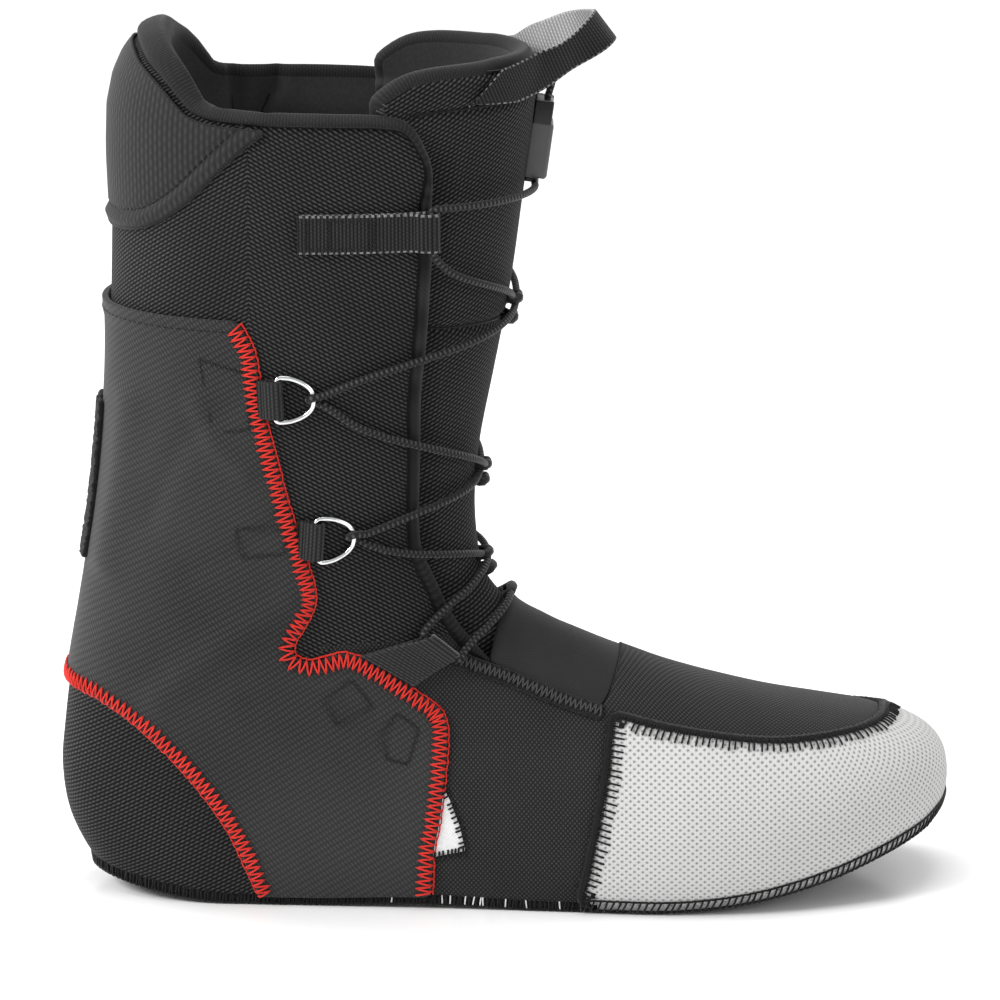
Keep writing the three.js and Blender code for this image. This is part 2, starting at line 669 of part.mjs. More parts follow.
// A straight crossing from one side to the other, over the flaps and down on the tongue.
function halfCrossing(end, endLift, middle, sign) {
  const front = lastPoint(middle.station, Math.PI);
  const x = mix(end.x, front.x, 0.42);
  const z = mix(end.y, front.z, 0.42);
  return [
    { ...placeOf(end.x, end.y, sign), lift: endLift },
    { ...placeOf(x, z, sign), lift: overFlap },
  ];
}
const overFlap = laceRadius + gap + 0.8;
const rollAxis = rollLift(laceBore);
const ringAxis = rollLift(ringBore);
const strapHalf = halfWeb + 1.8;
const strapMiddle = sidePoint(strapEnd);
const strapTopEnd = strapMiddle.clone().add(new THREE.Vector2(0, strapHalf));
const strapLowEnd = strapMiddle.clone().add(new THREE.Vector2(0, -strapHalf));
const ringReach = ringDepth + ringWire / 2 + laceRadius + 0.8;
const ringEnd = (place, rise) =>
  sidePoint(place.bar).add(new THREE.Vector2(ringReach, rise));
const goreAxis = sidePoint(goreEnds[1]).sub(sidePoint(goreEnds[0])).normalize();
const goreUpperEnd = sidePoint(goreEnds[0]).addScaledVector(goreAxis, -2.3);
const goreLowerEnd = sidePoint(goreEnds[1]).addScaledVector(goreAxis, 2.3);
const pass = laceRadius + gap;

const laceOnTongue = (level) =>
  laceRadius + gap + 0.2 - tongueDrop(frontSpot(level, 0).station, Math.PI);

// Two runs of the cord cross in front, the second over the first
function crossing(level, upperEnd, upperLift, lowerEnd, lowerLift) {
  const runs = [-1, 1].map((sign) => {
    const over = sign > 0 ? laceWidth * 0.75 : 0;
    const middle = frontSpot(level, laceOnTongue(level) + over);
    const first = halfCrossing(upperEnd, upperLift, middle, sign);
    const second = halfCrossing(lowerEnd, lowerLift, middle, -sign);
    return laceAlong([...first, middle, ...second.reverse()], 10);
  });
  return runs[0].add(runs[1]);
}
const upperRing = ringPlaces.upper;
const lowerRing = ringPlaces.lower;
solids.lace_cross_high = crossing(
  crossLevels.high, strapLowEnd, rollAxis, ringEnd(upperRing, pass), ringAxis,
);
solids.lace_cross_middle = crossing(
  crossLevels.middle, ringEnd(upperRing, -pass), ringAxis, ringEnd(lowerRing, pass), ringAxis,
);
solids.lace_cross_low = crossing(
  crossLevels.low, ringEnd(lowerRing, -pass), ringAxis, goreUpperEnd, rollAxis,
);
const barMiddle = frontSpot(barLevel, laceRadius + gap);
solids.lace_bar = laceAlong(
  [
    ...halfCrossing(goreLowerEnd, rollAxis, barMiddle, -1),
    barMiddle,
    ...halfCrossing(goreLowerEnd, rollAxis, barMiddle, 1).reverse(),
  ],
  12,
);
const underLock = frontSpot(lockLevel - (lockLength / 2 + laceRadius + gap) / shaftHeight, lockLift);
const topRuns = [-1, 1].map((sign) =>
  laceAlong([...halfCrossing(strapTopEnd, rollAxis, underLock, sign), underLock], 7),
);
solids.lace_top = topRuns[0].add(topRuns[1]);
const overLock = lockLevel + (lockLength / 2 + laceRadius + gap) / shaftHeight;
solids.lock_cord = laceAlong(
  [
    frontSpot(overLock, lockLift),
    frontSpot(mix(overLock, tetherLevel, 0.5), mix(lockLift, laceOnTongue(tetherLevel), 0.7)),
    frontSpot(tetherLevel, laceOnTongue(tetherLevel)),
  ],
  4,
);

const tongueAt = (lift) => lastSolid((station, angle) => lift - tongueDrop(station, angle));
const tongueSkin = tongueAt(gap);

// Pull loop: two ends sewn on the tongue, meeting in a fold in front of it
const pullRun = [
  [-15, -29.5], [-8, -22.8], [0, -16.5], [10, -11.3], [19, -7.2], [24.2, -3.6],
].map(([ahead, side]) => new THREE.Vector2(ahead * pullReach / 25.5, side * pullSpan / 30));
const pullLine = new THREE.SplineCurve([
  ...pullRun,
  new THREE.Vector2(pullReach, 0),
  ...pullRun.map((p) => new THREE.Vector2(p.x, -p.y)).reverse(),
]).getPoints(24);
const pullShape = [
  ...moved(pullLine, -pullThick / 2),
  ...moved(pullLine, pullThick / 2).reverse(),
];
const tilt = THREE.MathUtils.degToRad(pullTilt);
const pullAxis = new THREE.Vector3(Math.cos(tilt), 0, Math.sin(tilt));
const across = new THREE.Vector3(0, 1, 0);
const pullFrame = new THREE.Matrix4()
  .makeBasis(pullAxis, across, pullAxis.clone().cross(across))
  .setPosition(onLast(frontSpot(pullLevel, 0).station, Math.PI, -tongueSink + 2));
const pullFoot = sidePoint(pullAt);
const footCorner = (ahead, up) =>
  new THREE.Vector2(
    pullFoot.x + ahead * Math.cos(tilt) - up * Math.sin(tilt),
    pullFoot.y + ahead * Math.sin(tilt) + up * Math.cos(tilt),
  );
const footOutline = [
  footCorner(-pullFootLength / 2, -halfWeb),
  footCorner(pullFootLength / 2, -halfWeb),
  footCorner(pullFootLength / 2, halfWeb),
  footCorner(-pullFootLength / 2, halfWeb),
];
solids.pull_loop = placed(prism(new THREE.Shape(pullShape), webWidth), pullFrame)
  .subtract(tongueSkin)
  .add(tongueAt(gap + pullThick).subtract(tongueSkin).intersect(through(footOutline)));

const finishes = {
  knit: { color: 0x2b2b2c, roughness: 0.85 },
  softshell: { color: 0x343435, roughness: 0.7 },
  harness: { color: 0x3a3a3c, roughness: 0.75 },
  pique: { color: 0xc9c9c7, roughness: 0.85 },
  sole: { color: 0x1c1c1d, roughness: 0.9 },
  webbing: { color: 0x19191a, roughness: 0.8 },
  steel: { color: 0xb8babd, roughness: 0.3 },
  plastic: { color: 0x6d6e70, roughness: 0.5 },
  lace: { color: 0x202021, roughness: 0.8 },
};
const slots = {
  sole: "sole", insole: "sole", instep_panel: "softshell", toe_cap: "pique", cuff_panel: "softshell",
  heel_harness: "harness", heel_tab: "webbing", cord_lock: "plastic", pull_loop: "webbing",
  d: "steel", ring: "webbing", lower: "webbing", lace_strap: "webbing", lace: "lace",
};
const slotOf = (name) => {
  const key = Object.keys(slots).find((start) => name.startsWith(start));
  return finishes[slots[key] ?? "knit"];
};

function meshOf(name, solid) {
  const made = solid.getMesh();
  const geometry = new THREE.BufferGeometry();
  geometry.setAttribute("position", new THREE.BufferAttribute(made.vertProperties, made.numProp));
  geometry.setIndex(new THREE.BufferAttribute(made.triVerts, 1));
  geometry.computeVertexNormals();
  const mesh = new THREE.Mesh(geometry, new THREE.MeshStandardMaterial(slotOf(name)));
  mesh.name = name;
  return mesh;
}

const boot = new THREE.Group();
for (const [name, solid] of Object.entries(solids)) {
  boot.add(meshOf(name, solid));
}
export default boot;
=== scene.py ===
# A padded inner boot, dressed over its solids. Sizes are in millimetres until a mesh is made.
import math
import bpy
import numpy as np
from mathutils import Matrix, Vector


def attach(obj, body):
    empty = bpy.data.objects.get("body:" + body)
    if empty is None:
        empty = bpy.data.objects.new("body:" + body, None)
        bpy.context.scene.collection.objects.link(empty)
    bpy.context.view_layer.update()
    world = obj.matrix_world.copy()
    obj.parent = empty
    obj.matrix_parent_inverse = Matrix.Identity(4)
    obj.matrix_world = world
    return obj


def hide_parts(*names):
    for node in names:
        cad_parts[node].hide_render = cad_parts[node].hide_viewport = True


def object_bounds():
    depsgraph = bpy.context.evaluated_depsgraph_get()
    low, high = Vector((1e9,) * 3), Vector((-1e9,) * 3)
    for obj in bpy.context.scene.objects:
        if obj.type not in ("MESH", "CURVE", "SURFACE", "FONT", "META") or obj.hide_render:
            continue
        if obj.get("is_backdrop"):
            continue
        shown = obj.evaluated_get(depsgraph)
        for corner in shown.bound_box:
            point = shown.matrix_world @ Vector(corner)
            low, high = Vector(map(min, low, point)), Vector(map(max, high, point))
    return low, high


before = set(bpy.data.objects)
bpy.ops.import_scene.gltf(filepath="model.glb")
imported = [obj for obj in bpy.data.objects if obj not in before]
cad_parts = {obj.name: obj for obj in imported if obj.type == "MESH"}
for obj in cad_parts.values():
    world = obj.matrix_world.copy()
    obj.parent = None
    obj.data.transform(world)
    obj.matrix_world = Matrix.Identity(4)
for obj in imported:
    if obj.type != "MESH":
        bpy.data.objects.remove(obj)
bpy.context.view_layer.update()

print("stage: frame loaded,", len(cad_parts), "solids")


# The last: sizes in millimetres, shared with the solids
last = {
    "footLength": 294, "heelReach": 63, "instepHeight": 96, "shaftHeight": 192,
    "ballWidth": 101, "heelWidth": 77, "collarWidth": 106,
    "shaftWall": 6, "toeWall": 3.6, "cuffPadding": 7,
    "toeSpring": 21.9, "heelLift": 6, "archLift": 1, "soleThick": 3.4, "soleRim": 0.9,
}
# frontAt, frontLevel, backAt, backLevel, lateral, medial, shift, widest, backPower, frontPower, soft, pad
shaftRows = [
    [0.558, 2.115, 0.069, 2.115, 0.505, 0.505, 0, 0.47, 2.15, 2.2, 1, 1],
    [0.548, 1.868, 0.067, 1.865, 0.5, 0.5, 0, 0.47, 2.15, 2.2, 1, 1],
    [0.534, 1.708, 0.066, 1.677, 0.48, 0.48, 0, 0.47, 2.15, 2.2, 1, 0.45],
    [0.52, 1.552, 0.063, 1.5, 0.457, 0.457, 0, 0.46, 2.15, 2.2, 1, 0],
    [0.501, 1.396, 0.057, 1.323, 0.43, 0.43, 0, 0.46, 2.15, 2.2, 1, 0],
    [0.483, 1.266, 0.046, 1.167, 0.402, 0.402, 0, 0.45, 2.15, 2.2, 1, 0],
    [0.475, 1.167, 0.029, 1.01, 0.383, 0.383, 0, 0.45, 2.15, 2.15, 1, 0],
]
heelRows = [
    [0.477, 1.089, 0.015, 0.781, 0.513, 0.513, 0, 0.44, 2.2, 2.1, 0.97, 0],
    [0.484, 1.046, 0.006, 0.573, 0.506, 0.5, 0, 0.43, 2.2, 2.1, 0.93, 0],
    [0.503, 1.007, 0.002, 0.396, 0.5, 0.487, 0, 0.41, 2.25, 2.1, 0.88, 0],
    [0.524, 0.966, 0.013, 0.219, 0.494, 0.48, 0, 0.39, 2.3, 2.1, 0.83, 0],
    [0.543, 0.936, 0.048, 0.042, 0.494, 0.474, 0, 0.37, 2.4, 2.1, 0.77, 0],
    [0.561, 0.908, 0.102, -0.094, 0.494, 0.468, 0, 0.36, 2.6, 2.1, 0.7, 0],
    [0.582, 0.881, 0.173, -0.104, 0.5, 0.461, 0, 0.35, 2.8, 2.1, 0.62, 0],
]
foreRows = [
    [0.609, 0.846, 0.289, -0.104, 0.396, 0.351, 0, 0.35, 3, 2.1, 0.54, 0],
    [0.643, 0.805, 0.425, -0.104, 0.426, 0.366, 0, 0.36, 3, 2.1, 0.46, 0],
    [0.684, 0.756, 0.554, -0.104, 0.465, 0.416, 0, 0.37, 3, 2.1, 0.36, 0],
    [0.738, 0.702, 0.67, -0.1, 0.505, 0.475, 0.01, 0.38, 3, 2.1, 0.24, 0],
    [0.799, 0.652, 0.772, -0.078, 0.5, 0.47, 0.03, 0.4, 2.9, 2.1, 0.12, 0],
    [0.861, 0.613, 0.854, -0.021, 0.455, 0.426, 0.059, 0.42, 2.8, 2.15, 0, 0],
    [0.906, 0.585, 0.906, 0.036, 0.396, 0.366, 0.079, 0.44, 2.7, 2.2, 0, 0],
    [0.94, 0.549, 0.942, 0.089, 0.332, 0.312, 0.089, 0.46, 2.6, 2.2, 0, 0],
    [0.966, 0.511, 0.968, 0.146, 0.257, 0.248, 0.099, 0.48, 2.5, 2.2, 0, 0],
    [0.983, 0.471, 0.984, 0.214, 0.178, 0.173, 0.104, 0.5, 2.3, 2.2, 0, 0],
    [0.993, 0.423, 0.994, 0.292, 0.099, 0.099, 0.109, 0.5, 2.1, 2.1, 0, 0],
    [0.997, 0.36, 0.997, 0.36, 0, 0, 0.109, 0.5, 2, 2, 0, 0],
]


def alongX(share):
    return np.asarray(share, float) * last["footLength"] - last["heelReach"]


def shareOf(x):
    return (x + last["heelReach"]) / last["footLength"]


def levelZ(level):
    level = np.asarray(level, float)
    low, high = last["instepHeight"], last["shaftHeight"]
    return np.where(level <= 1, level * low, low + (level - 1) * high)


def shaftLevel(z):  # level of a height above the instep
    return 1 + (z - last["instepHeight"]) / last["shaftHeight"]


def sectionTable():
    table = []
    for rows, width in ((shaftRows, "collarWidth"), (heelRows, "heelWidth"), (foreRows, "ballWidth")):
        for row in rows:
            ends = [alongX(row[0]), levelZ(row[1]), alongX(row[2]), levelZ(row[3])]
            table.append(ends + [share * last[width] for share in row[4:7]] + row[7:])
    return np.array(table, float)


sections = sectionTable()
lastRow = len(sections) - 1


def mix(a, b, t):
    return a + (b - a) * t


def ease(t):
    t = np.clip(t, 0, 1)
    return t * t * (3 - 2 * t)


def dipAt(distance, width):  # 1 on a line, falling off to both sides
    return np.exp(-(distance / width) ** 2)


def unit(vectors):
    return vectors / np.maximum(np.linalg.norm(vectors, axis=-1, keepdims=True), 1e-9)


def lengthAlong(points):
    return np.concatenate([[0], np.cumsum(np.linalg.norm(np.diff(points, axis=0), axis=1))])


def apart(points, least):  # false where a point repeats the one before it
    return np.concatenate([[True], np.linalg.norm(np.diff(points, axis=0), axis=1) > least])


def curveMix(a, b, c, d, t):  # a smooth curve through b and c
    return b + 0.5 * t * (c - a + t * (2 * a - 5 * b + 4 * c - d + t * (3 * b - a - 3 * c + d)))


def smoothRun(points, steps):  # a smooth curve through all the points
    points = np.asarray(points, float)
    final = len(points) - 1
    t = np.linspace(0, final, final * steps + 1)
    i = np.minimum(t.astype(int), final - 1)
    return curveMix(*(points[np.clip(i + k, 0, final)] for k in (-1, 0, 1, 2)), (t - i)[:, None])


def rowAt(station):
    s = np.clip(np.asarray(station, float), 0, lastRow)
    i = np.minimum(s.astype(int), lastRow - 1)
    return curveMix(*(sections[np.clip(i + k, 0, lastRow)] for k in (-1, 0, 1, 2)), (s - i)[..., None])


def sectionAt(station):  # the first ten columns, one by one
    return np.moveaxis(rowAt(station), -1, 0)[:10]


def lastPoint(station, angle):
    frontX, frontZ, backX, backZ, lateral, medial, shift, widest, backPower, frontPower = sectionAt(station)
    c, s = np.cos(angle), np.abs(np.sin(angle))
    power = np.where(c > 0, backPower, frontPower)
    reach = (np.abs(c) ** power + s ** power) ** (-1 / power)
    share = widest - np.where(c > 0, widest, 1 - widest) * reach * c
    half = np.where(np.sin(angle) < 0, -lateral, medial)
    return np.stack([mix(backX, frontX, share), shift + half * reach * s, mix(backZ, frontZ, share)], -1)


def lastNormal(station, angle):
    station, angle = np.broadcast_arrays(np.asarray(station, float), np.asarray(angle, float))
    step = 0.02
    s = np.minimum(station, lastRow - 0.03)
    along = lastPoint(s + step, angle) - lastPoint(s - step, angle)
    around = lastPoint(s, angle + step) - lastPoint(s, angle - step)
    tip = (station >= lastRow)[..., None]
    return np.where(tip, np.array([1.0, 0, 0]), unit(np.cross(around, along)))


def onLast(station, angle, lift=0.0):
    return lastPoint(station, angle) + lastNormal(station, angle) * np.asarray(lift, float)[..., None]


def placeOf(x, z, side):  # station and angle of a point of the side view
    x, z = np.broadcast_arrays(np.asarray(x, float), np.asarray(z, float))

    def across(station):  # which side of the section's line the point lies on
        frontX, frontZ, backX, backZ = sectionAt(station)[:4]
        return (x - backX) * (frontZ - backZ) - (z - backZ) * (frontX - backX)

    low, top = np.zeros(x.shape), np.full(x.shape, lastRow - 0.2)
    sign = np.sign(across(low))
    for _ in range(40):
        middle = (low + top) / 2
        same = np.sign(across(middle)) == sign
        low, top = np.where(same, middle, low), np.where(same, top, middle)
    station = (low + top) / 2
    frontX, frontZ, backX, backZ, _, _, _, widest, backPower, frontPower = sectionAt(station)
    runX, runZ = frontX - backX, frontZ - backZ
    share = np.clip(((x - backX) * runX + (z - backZ) * runZ) / (runX ** 2 + runZ ** 2), 0, 1)
    behind = share < widest
    reach = np.abs(share - widest) / np.where(behind, widest, 1 - widest)
    power = np.where(behind, backPower, frontPower)
    aside = np.maximum(0, 1 - reach ** power) ** (1 / power)
    angle = np.arctan2(aside, np.where(behind, reach, -reach))
    return station, np.where(np.asarray(side) < 0, -angle, angle)


# Side view: x forwards, z up. Lines are given as [share of the length from the heel, level].


def flatLine(points):
    points = np.array(points, float)
    return np.stack([alongX(points[:, 0]), levelZ(points[:, 1])], -1)


def onto(point):
    return flatLine([point])[0]


def sideLine(points, steps=6):
    return smoothRun(flatLine(points), steps)


def movedLine(line, distance):  # to the left of its direction for a positive distance
    run = unit(np.gradient(line, axis=0))
    return line + np.stack([-run[:, 1], run[:, 0]], -1) * distance


def lineDistance(points, line, closed=False):  # distance to a line, and how far along it
    a = line if closed else line[:-1]
    b = np.roll(line, -1, axis=0) if closed else line[1:]
    run = b - a
    length = np.maximum((run ** 2).sum(1), 1e-12)
    starts = np.concatenate([[0], np.cumsum(np.sqrt(length))])[:-1]
    flat = points.reshape(-1, 2)
    best, where = np.empty(len(flat)), np.empty(len(flat))
    for k in range(0, len(flat), 4000):
        to = flat[k:k + 4000, None] - a
        t = np.clip((to * run).sum(-1) / length, 0, 1)
        d = np.linalg.norm(to - run * t[..., None], axis=-1)
        i = d.argmin(1)
        rows = np.arange(len(i))
        best[k:k + 4000] = d[rows, i]
        where[k:k + 4000] = starts[i] + t[rows, i] * np.sqrt(length[i])
    return best.reshape(points.shape[:-1]), where.reshape(points.shape[:-1])


def insideBy(points, outline):  # distance inside a closed outline, negative outside it
    flat = points.reshape(-1, 2)
    a, b = outline, np.roll(outline, -1, axis=0)
    inside = np.zeros(len(flat), bool)
    for k in range(0, len(flat), 4000):
        p = flat[k:k + 4000, None]
        spans = (a[:, 1] > p[..., 1]) != (b[:, 1] > p[..., 1])
        rise = np.where(np.abs(b[:, 1] - a[:, 1]) < 1e-12, 1e-12, b[:, 1] - a[:, 1])
        cross = a[:, 0] + (p[..., 1] - a[:, 1]) / rise * (b[:, 0] - a[:, 0])
        inside[k:k + 4000] = (spans & (p[..., 0] < cross)).sum(1) % 2 == 1
    distance = lineDistance(points, outline, True)[0]
    return np.where(inside.reshape(points.shape[:-1]), distance, -distance)


def sideOf(station, angle):
    return lastPoint(station, angle)[..., [0, 2]]


def lineGap(station, angle, line):
    return lineDistance(sideOf(station, angle), line)[0]


def groundAt(x):  # lower face of the sole
    heelX, archStart, archEnd, toeX, tipX = (alongX(s) for s in (0.197, 0.27, 0.54, 0.657, 0.988))
    heel = last["heelLift"] * (np.maximum(heelX - x, 0) / (heelX + last["heelReach"] - 13)) ** 1.6
    toe = last["toeSpring"] * (np.maximum(x - toeX, 0) / (tipX - toeX)) ** 2
    wave = np.sin(np.clip((x - archStart) / (archEnd - archStart), 0, 1) * math.pi) ** 2
    return heel + toe + last["archLift"] * wave


def wallAt(station, angle):
    row = rowAt(station)
    behind = np.maximum(0, np.cos(angle))
    wall = mix(last["toeWall"], last["shaftWall"], row[..., 10])
    return wall + last["cuffPadding"] * row[..., 11] * behind ** 2


# How much further the surface runs than its side view, so that a weave keeps its scale round a bend
arcGrid = {"rows": 200, "turns": 192}


def sectionRun(row):
    return np.stack([row[..., 0] - row[..., 2], row[..., 1] - row[..., 3]], -1)


def arcTable():
    stations = np.linspace(0, lastRow, arcGrid["rows"] + 1)
    angles = np.linspace(-math.pi, math.pi, arcGrid["turns"] + 1)
    s, a = np.meshgrid(stations, angles, indexing="ij")
    points = lastPoint(s, a)
    steps = np.linalg.norm(np.diff(points, axis=1), axis=-1)
    arc = np.concatenate([np.zeros((len(stations), 1)), np.cumsum(steps, 1)], 1)
    row = rowAt(s)
    along = ((points[..., [0, 2]] - row[..., [2, 3]]) * unit(sectionRun(row))).sum(-1)
    left, right = arcGrid["turns"] // 4, arcGrid["turns"] * 3 // 4
    middle = np.where(a < 0, arc[:, left, None], arc[:, right, None])
    centre = np.where(a < 0, along[:, left, None], along[:, right, None])
    return np.maximum(np.abs(arc - middle) - np.abs(along - centre), 0)


arcExcess = arcTable()


def clothPlace(station, angle):  # flat place of a point in its cloth
    rows, turns = arcGrid["rows"], arcGrid["turns"]
    turn = (np.asarray(angle) + math.pi) % (2 * math.pi)
    i = np.clip(np.asarray(station) / lastRow * rows, 0, rows - 0.001)
    j = np.clip(turn / (2 * math.pi) * turns, 0, turns - 0.001)
    i0, j0 = i.astype(int), j.astype(int)
    near, far = (mix(arcExcess[k, j0], arcExcess[k, j0 + 1], j - j0) for k in (i0, i0 + 1))
    way = np.where(np.cos(angle) > 0, -1.0, 1.0)
    return sideOf(station, angle) + unit(sectionRun(rowAt(station))) * (mix(near, far, i - i0) * way)[..., None]


# A cloth piece is a fine grid of stations and angles, cut along its outline


def stationSteps(low, high, cell):
    fine = np.linspace(low, high, 400)
    runs = [lengthAlong(lastPoint(fine, np.full(len(fine), angle))) for angle in (0.5, 1.4, 2.2, 3.0)]
    total = sum(runs) / len(runs)
    return np.interp(np.linspace(0, total[-1], max(2, int(total[-1] / cell)) + 1), total, fine)


def cutSheet(stations, angles, field, closed=False):
    rows, columns = len(stations), len(angles) - (1 if closed else 0)
    s, a = np.meshgrid(stations, angles[:columns], indexing="ij")
    s, a = s.ravel(), a.ravel()
    value = field(s, a)
    places = [np.stack([s, a], -1)]
    faces, cuts, edges = [], {}, []
    full = columns if closed else columns - 1
    for i in range(rows - 1):
        base = i * columns
        for j in range(full):
            k = (j + 1) % columns
            face = (base + j, base + k, base + columns + k, base + columns + j)
            signs = value[list(face)] > 0
            if signs.all():
                faces.append(face)
            elif signs.any():
                made = []
                for p in range(4):
                    v, w = face[p], face[(p + 1) % 4]
                    if value[v] > 0:
                        made.append(v)
                    if (value[v] > 0) != (value[w] > 0):
                        key = (min(v, w), max(v, w))
                        if key not in cuts:
                            cuts[key] = len(s) + len(cuts)
                            edges.append(key)
                        made.append(cuts[key])
                if len(made) > 2:
                    faces.append(tuple(made))
    if edges:
        pairs = np.array(edges)
        inner, outer = np.where(value[pairs[:, :1]] > 0, pairs, pairs[:, ::-1]).T
        low, high = np.stack([s[inner], a[inner]], -1), np.stack([s[outer], a[outer]], -1)
        high[:, 1] += 2 * math.pi * np.round((low[:, 1] - high[:, 1]) / (2 * math.pi))
        near, far = np.zeros(len(low)), np.ones(len(low))
        for _ in range(14):
            middle = (near + far) / 2
            at = low + (high - low) * middle[:, None]
            keep = field(at[:, 0], at[:, 1]) > 0
            near, far = np.where(keep, middle, near), np.where(keep, far, middle)
        places.append(low + (high - low) * near[:, None])
    places = np.concatenate(places)
    used = sorted({v for f in faces for v in f})
    index = {v: n for n, v in enumerate(used)}
    return places[used], [tuple(index[v] for v in f) for f in faces]


def borderLoops(faces):  # ordered open edges of a sheet
    seen = set()
    for f in faces:
        for v, w in zip(f, f[1:] + f[:1]):
            seen.add((v, w))
    following = {v: w for v, w in seen if (w, v) not in seen}
    loops = []
    while following:
        start, loop = next(iter(following)), []
        v = start
        while v in following:
            loop.append(v)
            v = following.pop(v)
        loops.append(loop)
    return loops


def layCloth(data, flat):  # flat places in millimetres, one for each vertex, go on the map named cloth
    layer = data.uv_layers.get("cloth") or data.uv_layers.new(name="cloth")
    corners = np.empty(len(data.loops), np.int32)
    data.loops.foreach_get("vertex_index", corners)
    layer.data.foreach_set("uv", (np.asarray(flat) * 0.01)[corners].astype(np.float32).ravel())


def makeMesh(name, points, faces, flat=None, faceKinds=None):
    data = bpy.data.meshes.new(name)
    data.from_pydata((np.asarray(points) * 0.001).tolist(), [], [list(f) for f in faces])
    obj = bpy.data.objects.new(name, data)
    bpy.context.scene.collection.objects.link(obj)
    if flat is not None:
        layCloth(data, flat)
    if faceKinds is not None:
        data.polygons.foreach_set("material_index", np.asarray(faceKinds, np.int32))
    data.polygons.foreach_set("use_smooth", [True] * len(data.polygons))
    data.update()
    return obj


def meshPoints(data):
    points = np.empty(len(data.vertices) * 3, np.float32)
    data.vertices.foreach_get("co", points)
    return points.reshape(-1, 3).astype(float)


def reface(obj, old, new, test):  # faces of one kind become another where the test of their centre holds
    faces = obj.data.polygons
    centres, kinds = np.empty(len(faces) * 3, np.float32), np.empty(len(faces), np.int32)
    faces.foreach_get("center", centres)
    faces.foreach_get("material_index", kinds)
    kinds[(kinds == old) & test(*(centres.reshape(-1, 3) * 1000).T)] = new
    faces.foreach_set("material_index", kinds)


def padBody(name, sheet, outer, inner, bulge, roll=None, rimSteps=7):
    # outer and inner are lifts off the last, bulge is how far the edge stands past the outline
    places, faces = sheet
    s, a = places.T
    over, under = onLast(s, a, outer(s, a)), onLast(s, a, inner(s, a))
    flat = clothPlace(s, a)
    count = len(places)
    total = 2 * count
    points, uv = [over, under], [flat, flat]
    made = list(faces) + [tuple(v + count for v in reversed(f)) for f in faces]
    kinds = [0] * len(faces) + [2] * len(faces)
    turns = [math.pi * k / rimSteps for k in range(1, rimSteps)]
    profile = roll or [(math.sin(t), math.cos(t), 0) for t in turns]
    for loop in borderLoops(faces):
        if len(loop) < 3:
            continue
        ring = np.array(loop)
        centre, rise = (over[ring] + under[ring]) / 2, over[ring] - under[ring]
        middle = centre
        for _ in range(2):
            middle = (np.roll(middle, 1, 0) + 2 * middle + np.roll(middle, -1, 0)) / 4
        normal = unit(rise)
        half = np.linalg.norm(rise, axis=1, keepdims=True) / 2
        out = unit(np.cross(unit(np.roll(middle, -2, 0) - np.roll(middle, 2, 0)), normal))
        reach = np.asarray(bulge(s[ring], a[ring]))[:, None]
        rings = [ring]
        for across, up, dip in profile:
            lift = half * up - dip * np.minimum(reach / 4, 1)
            points.append(centre + out * reach * across + normal * lift)
            uv.append(flat[ring] + np.concatenate([np.zeros_like(reach), reach * across], 1))
            rings.append(np.arange(total, total + len(ring)))
            total += len(ring)
        rings.append(ring + count)
        for upper, lower in zip(rings, rings[1:]):
            for k in range(len(ring)):
                n = (k + 1) % len(ring)
                made.append((upper[k], lower[k], lower[n], upper[n]))
                kinds.append(1)
    return makeMesh(name, np.concatenate(points), made, np.concatenate(uv), kinds)


# Lines laid on the boot: their points, surface normals and sideways direction


def linePath(line, side, step=1.0):
    fine = []
    for a, b in zip(line, line[1:]):
        count = max(2, int(np.linalg.norm(b - a) / 0.12))
        fine.append(a + (b - a) * np.linspace(0, 1, count, endpoint=False)[:, None])
    fine = np.concatenate(fine + [line[-1:]])
    places = np.stack(placeOf(fine[:, 0], fine[:, 1], side), -1)
    return surfacePath(places[apart(lastPoint(*places.T), 1e-4)], step)


def surfacePath(places, step=1.0):
    length = lengthAlong(lastPoint(*places.T))
    at = np.linspace(0, length[-1], max(3, int(round(length[-1] / step)) + 1))
    s, a = np.interp(at, length, places[:, 0]), np.interp(at, length, places[:, 1])
    point = onLast(s, a)
    for _ in range(2):
        point[1:-1] = (point[:-2] + 2 * point[1:-1] + point[2:]) / 4
    normal = lastNormal(s, a)
    out = unit(np.cross(normal, unit(np.gradient(point, axis=0))))
    return {"point": point, "normal": normal, "out": out, "length": length[-1], "s": s, "a": a}


def pathAt(path, distance):  # point, normal and sideways direction at a distance along
    count = len(path["point"])
    at = np.clip(np.asarray(distance, float) / path["length"] * (count - 1), 0, count - 1)
    rows = np.arange(count)
    pick = lambda key: np.stack([np.interp(at, rows, path[key][:, k]) for k in range(3)], -1)
    return pick("point"), pick("normal"), pick("out")


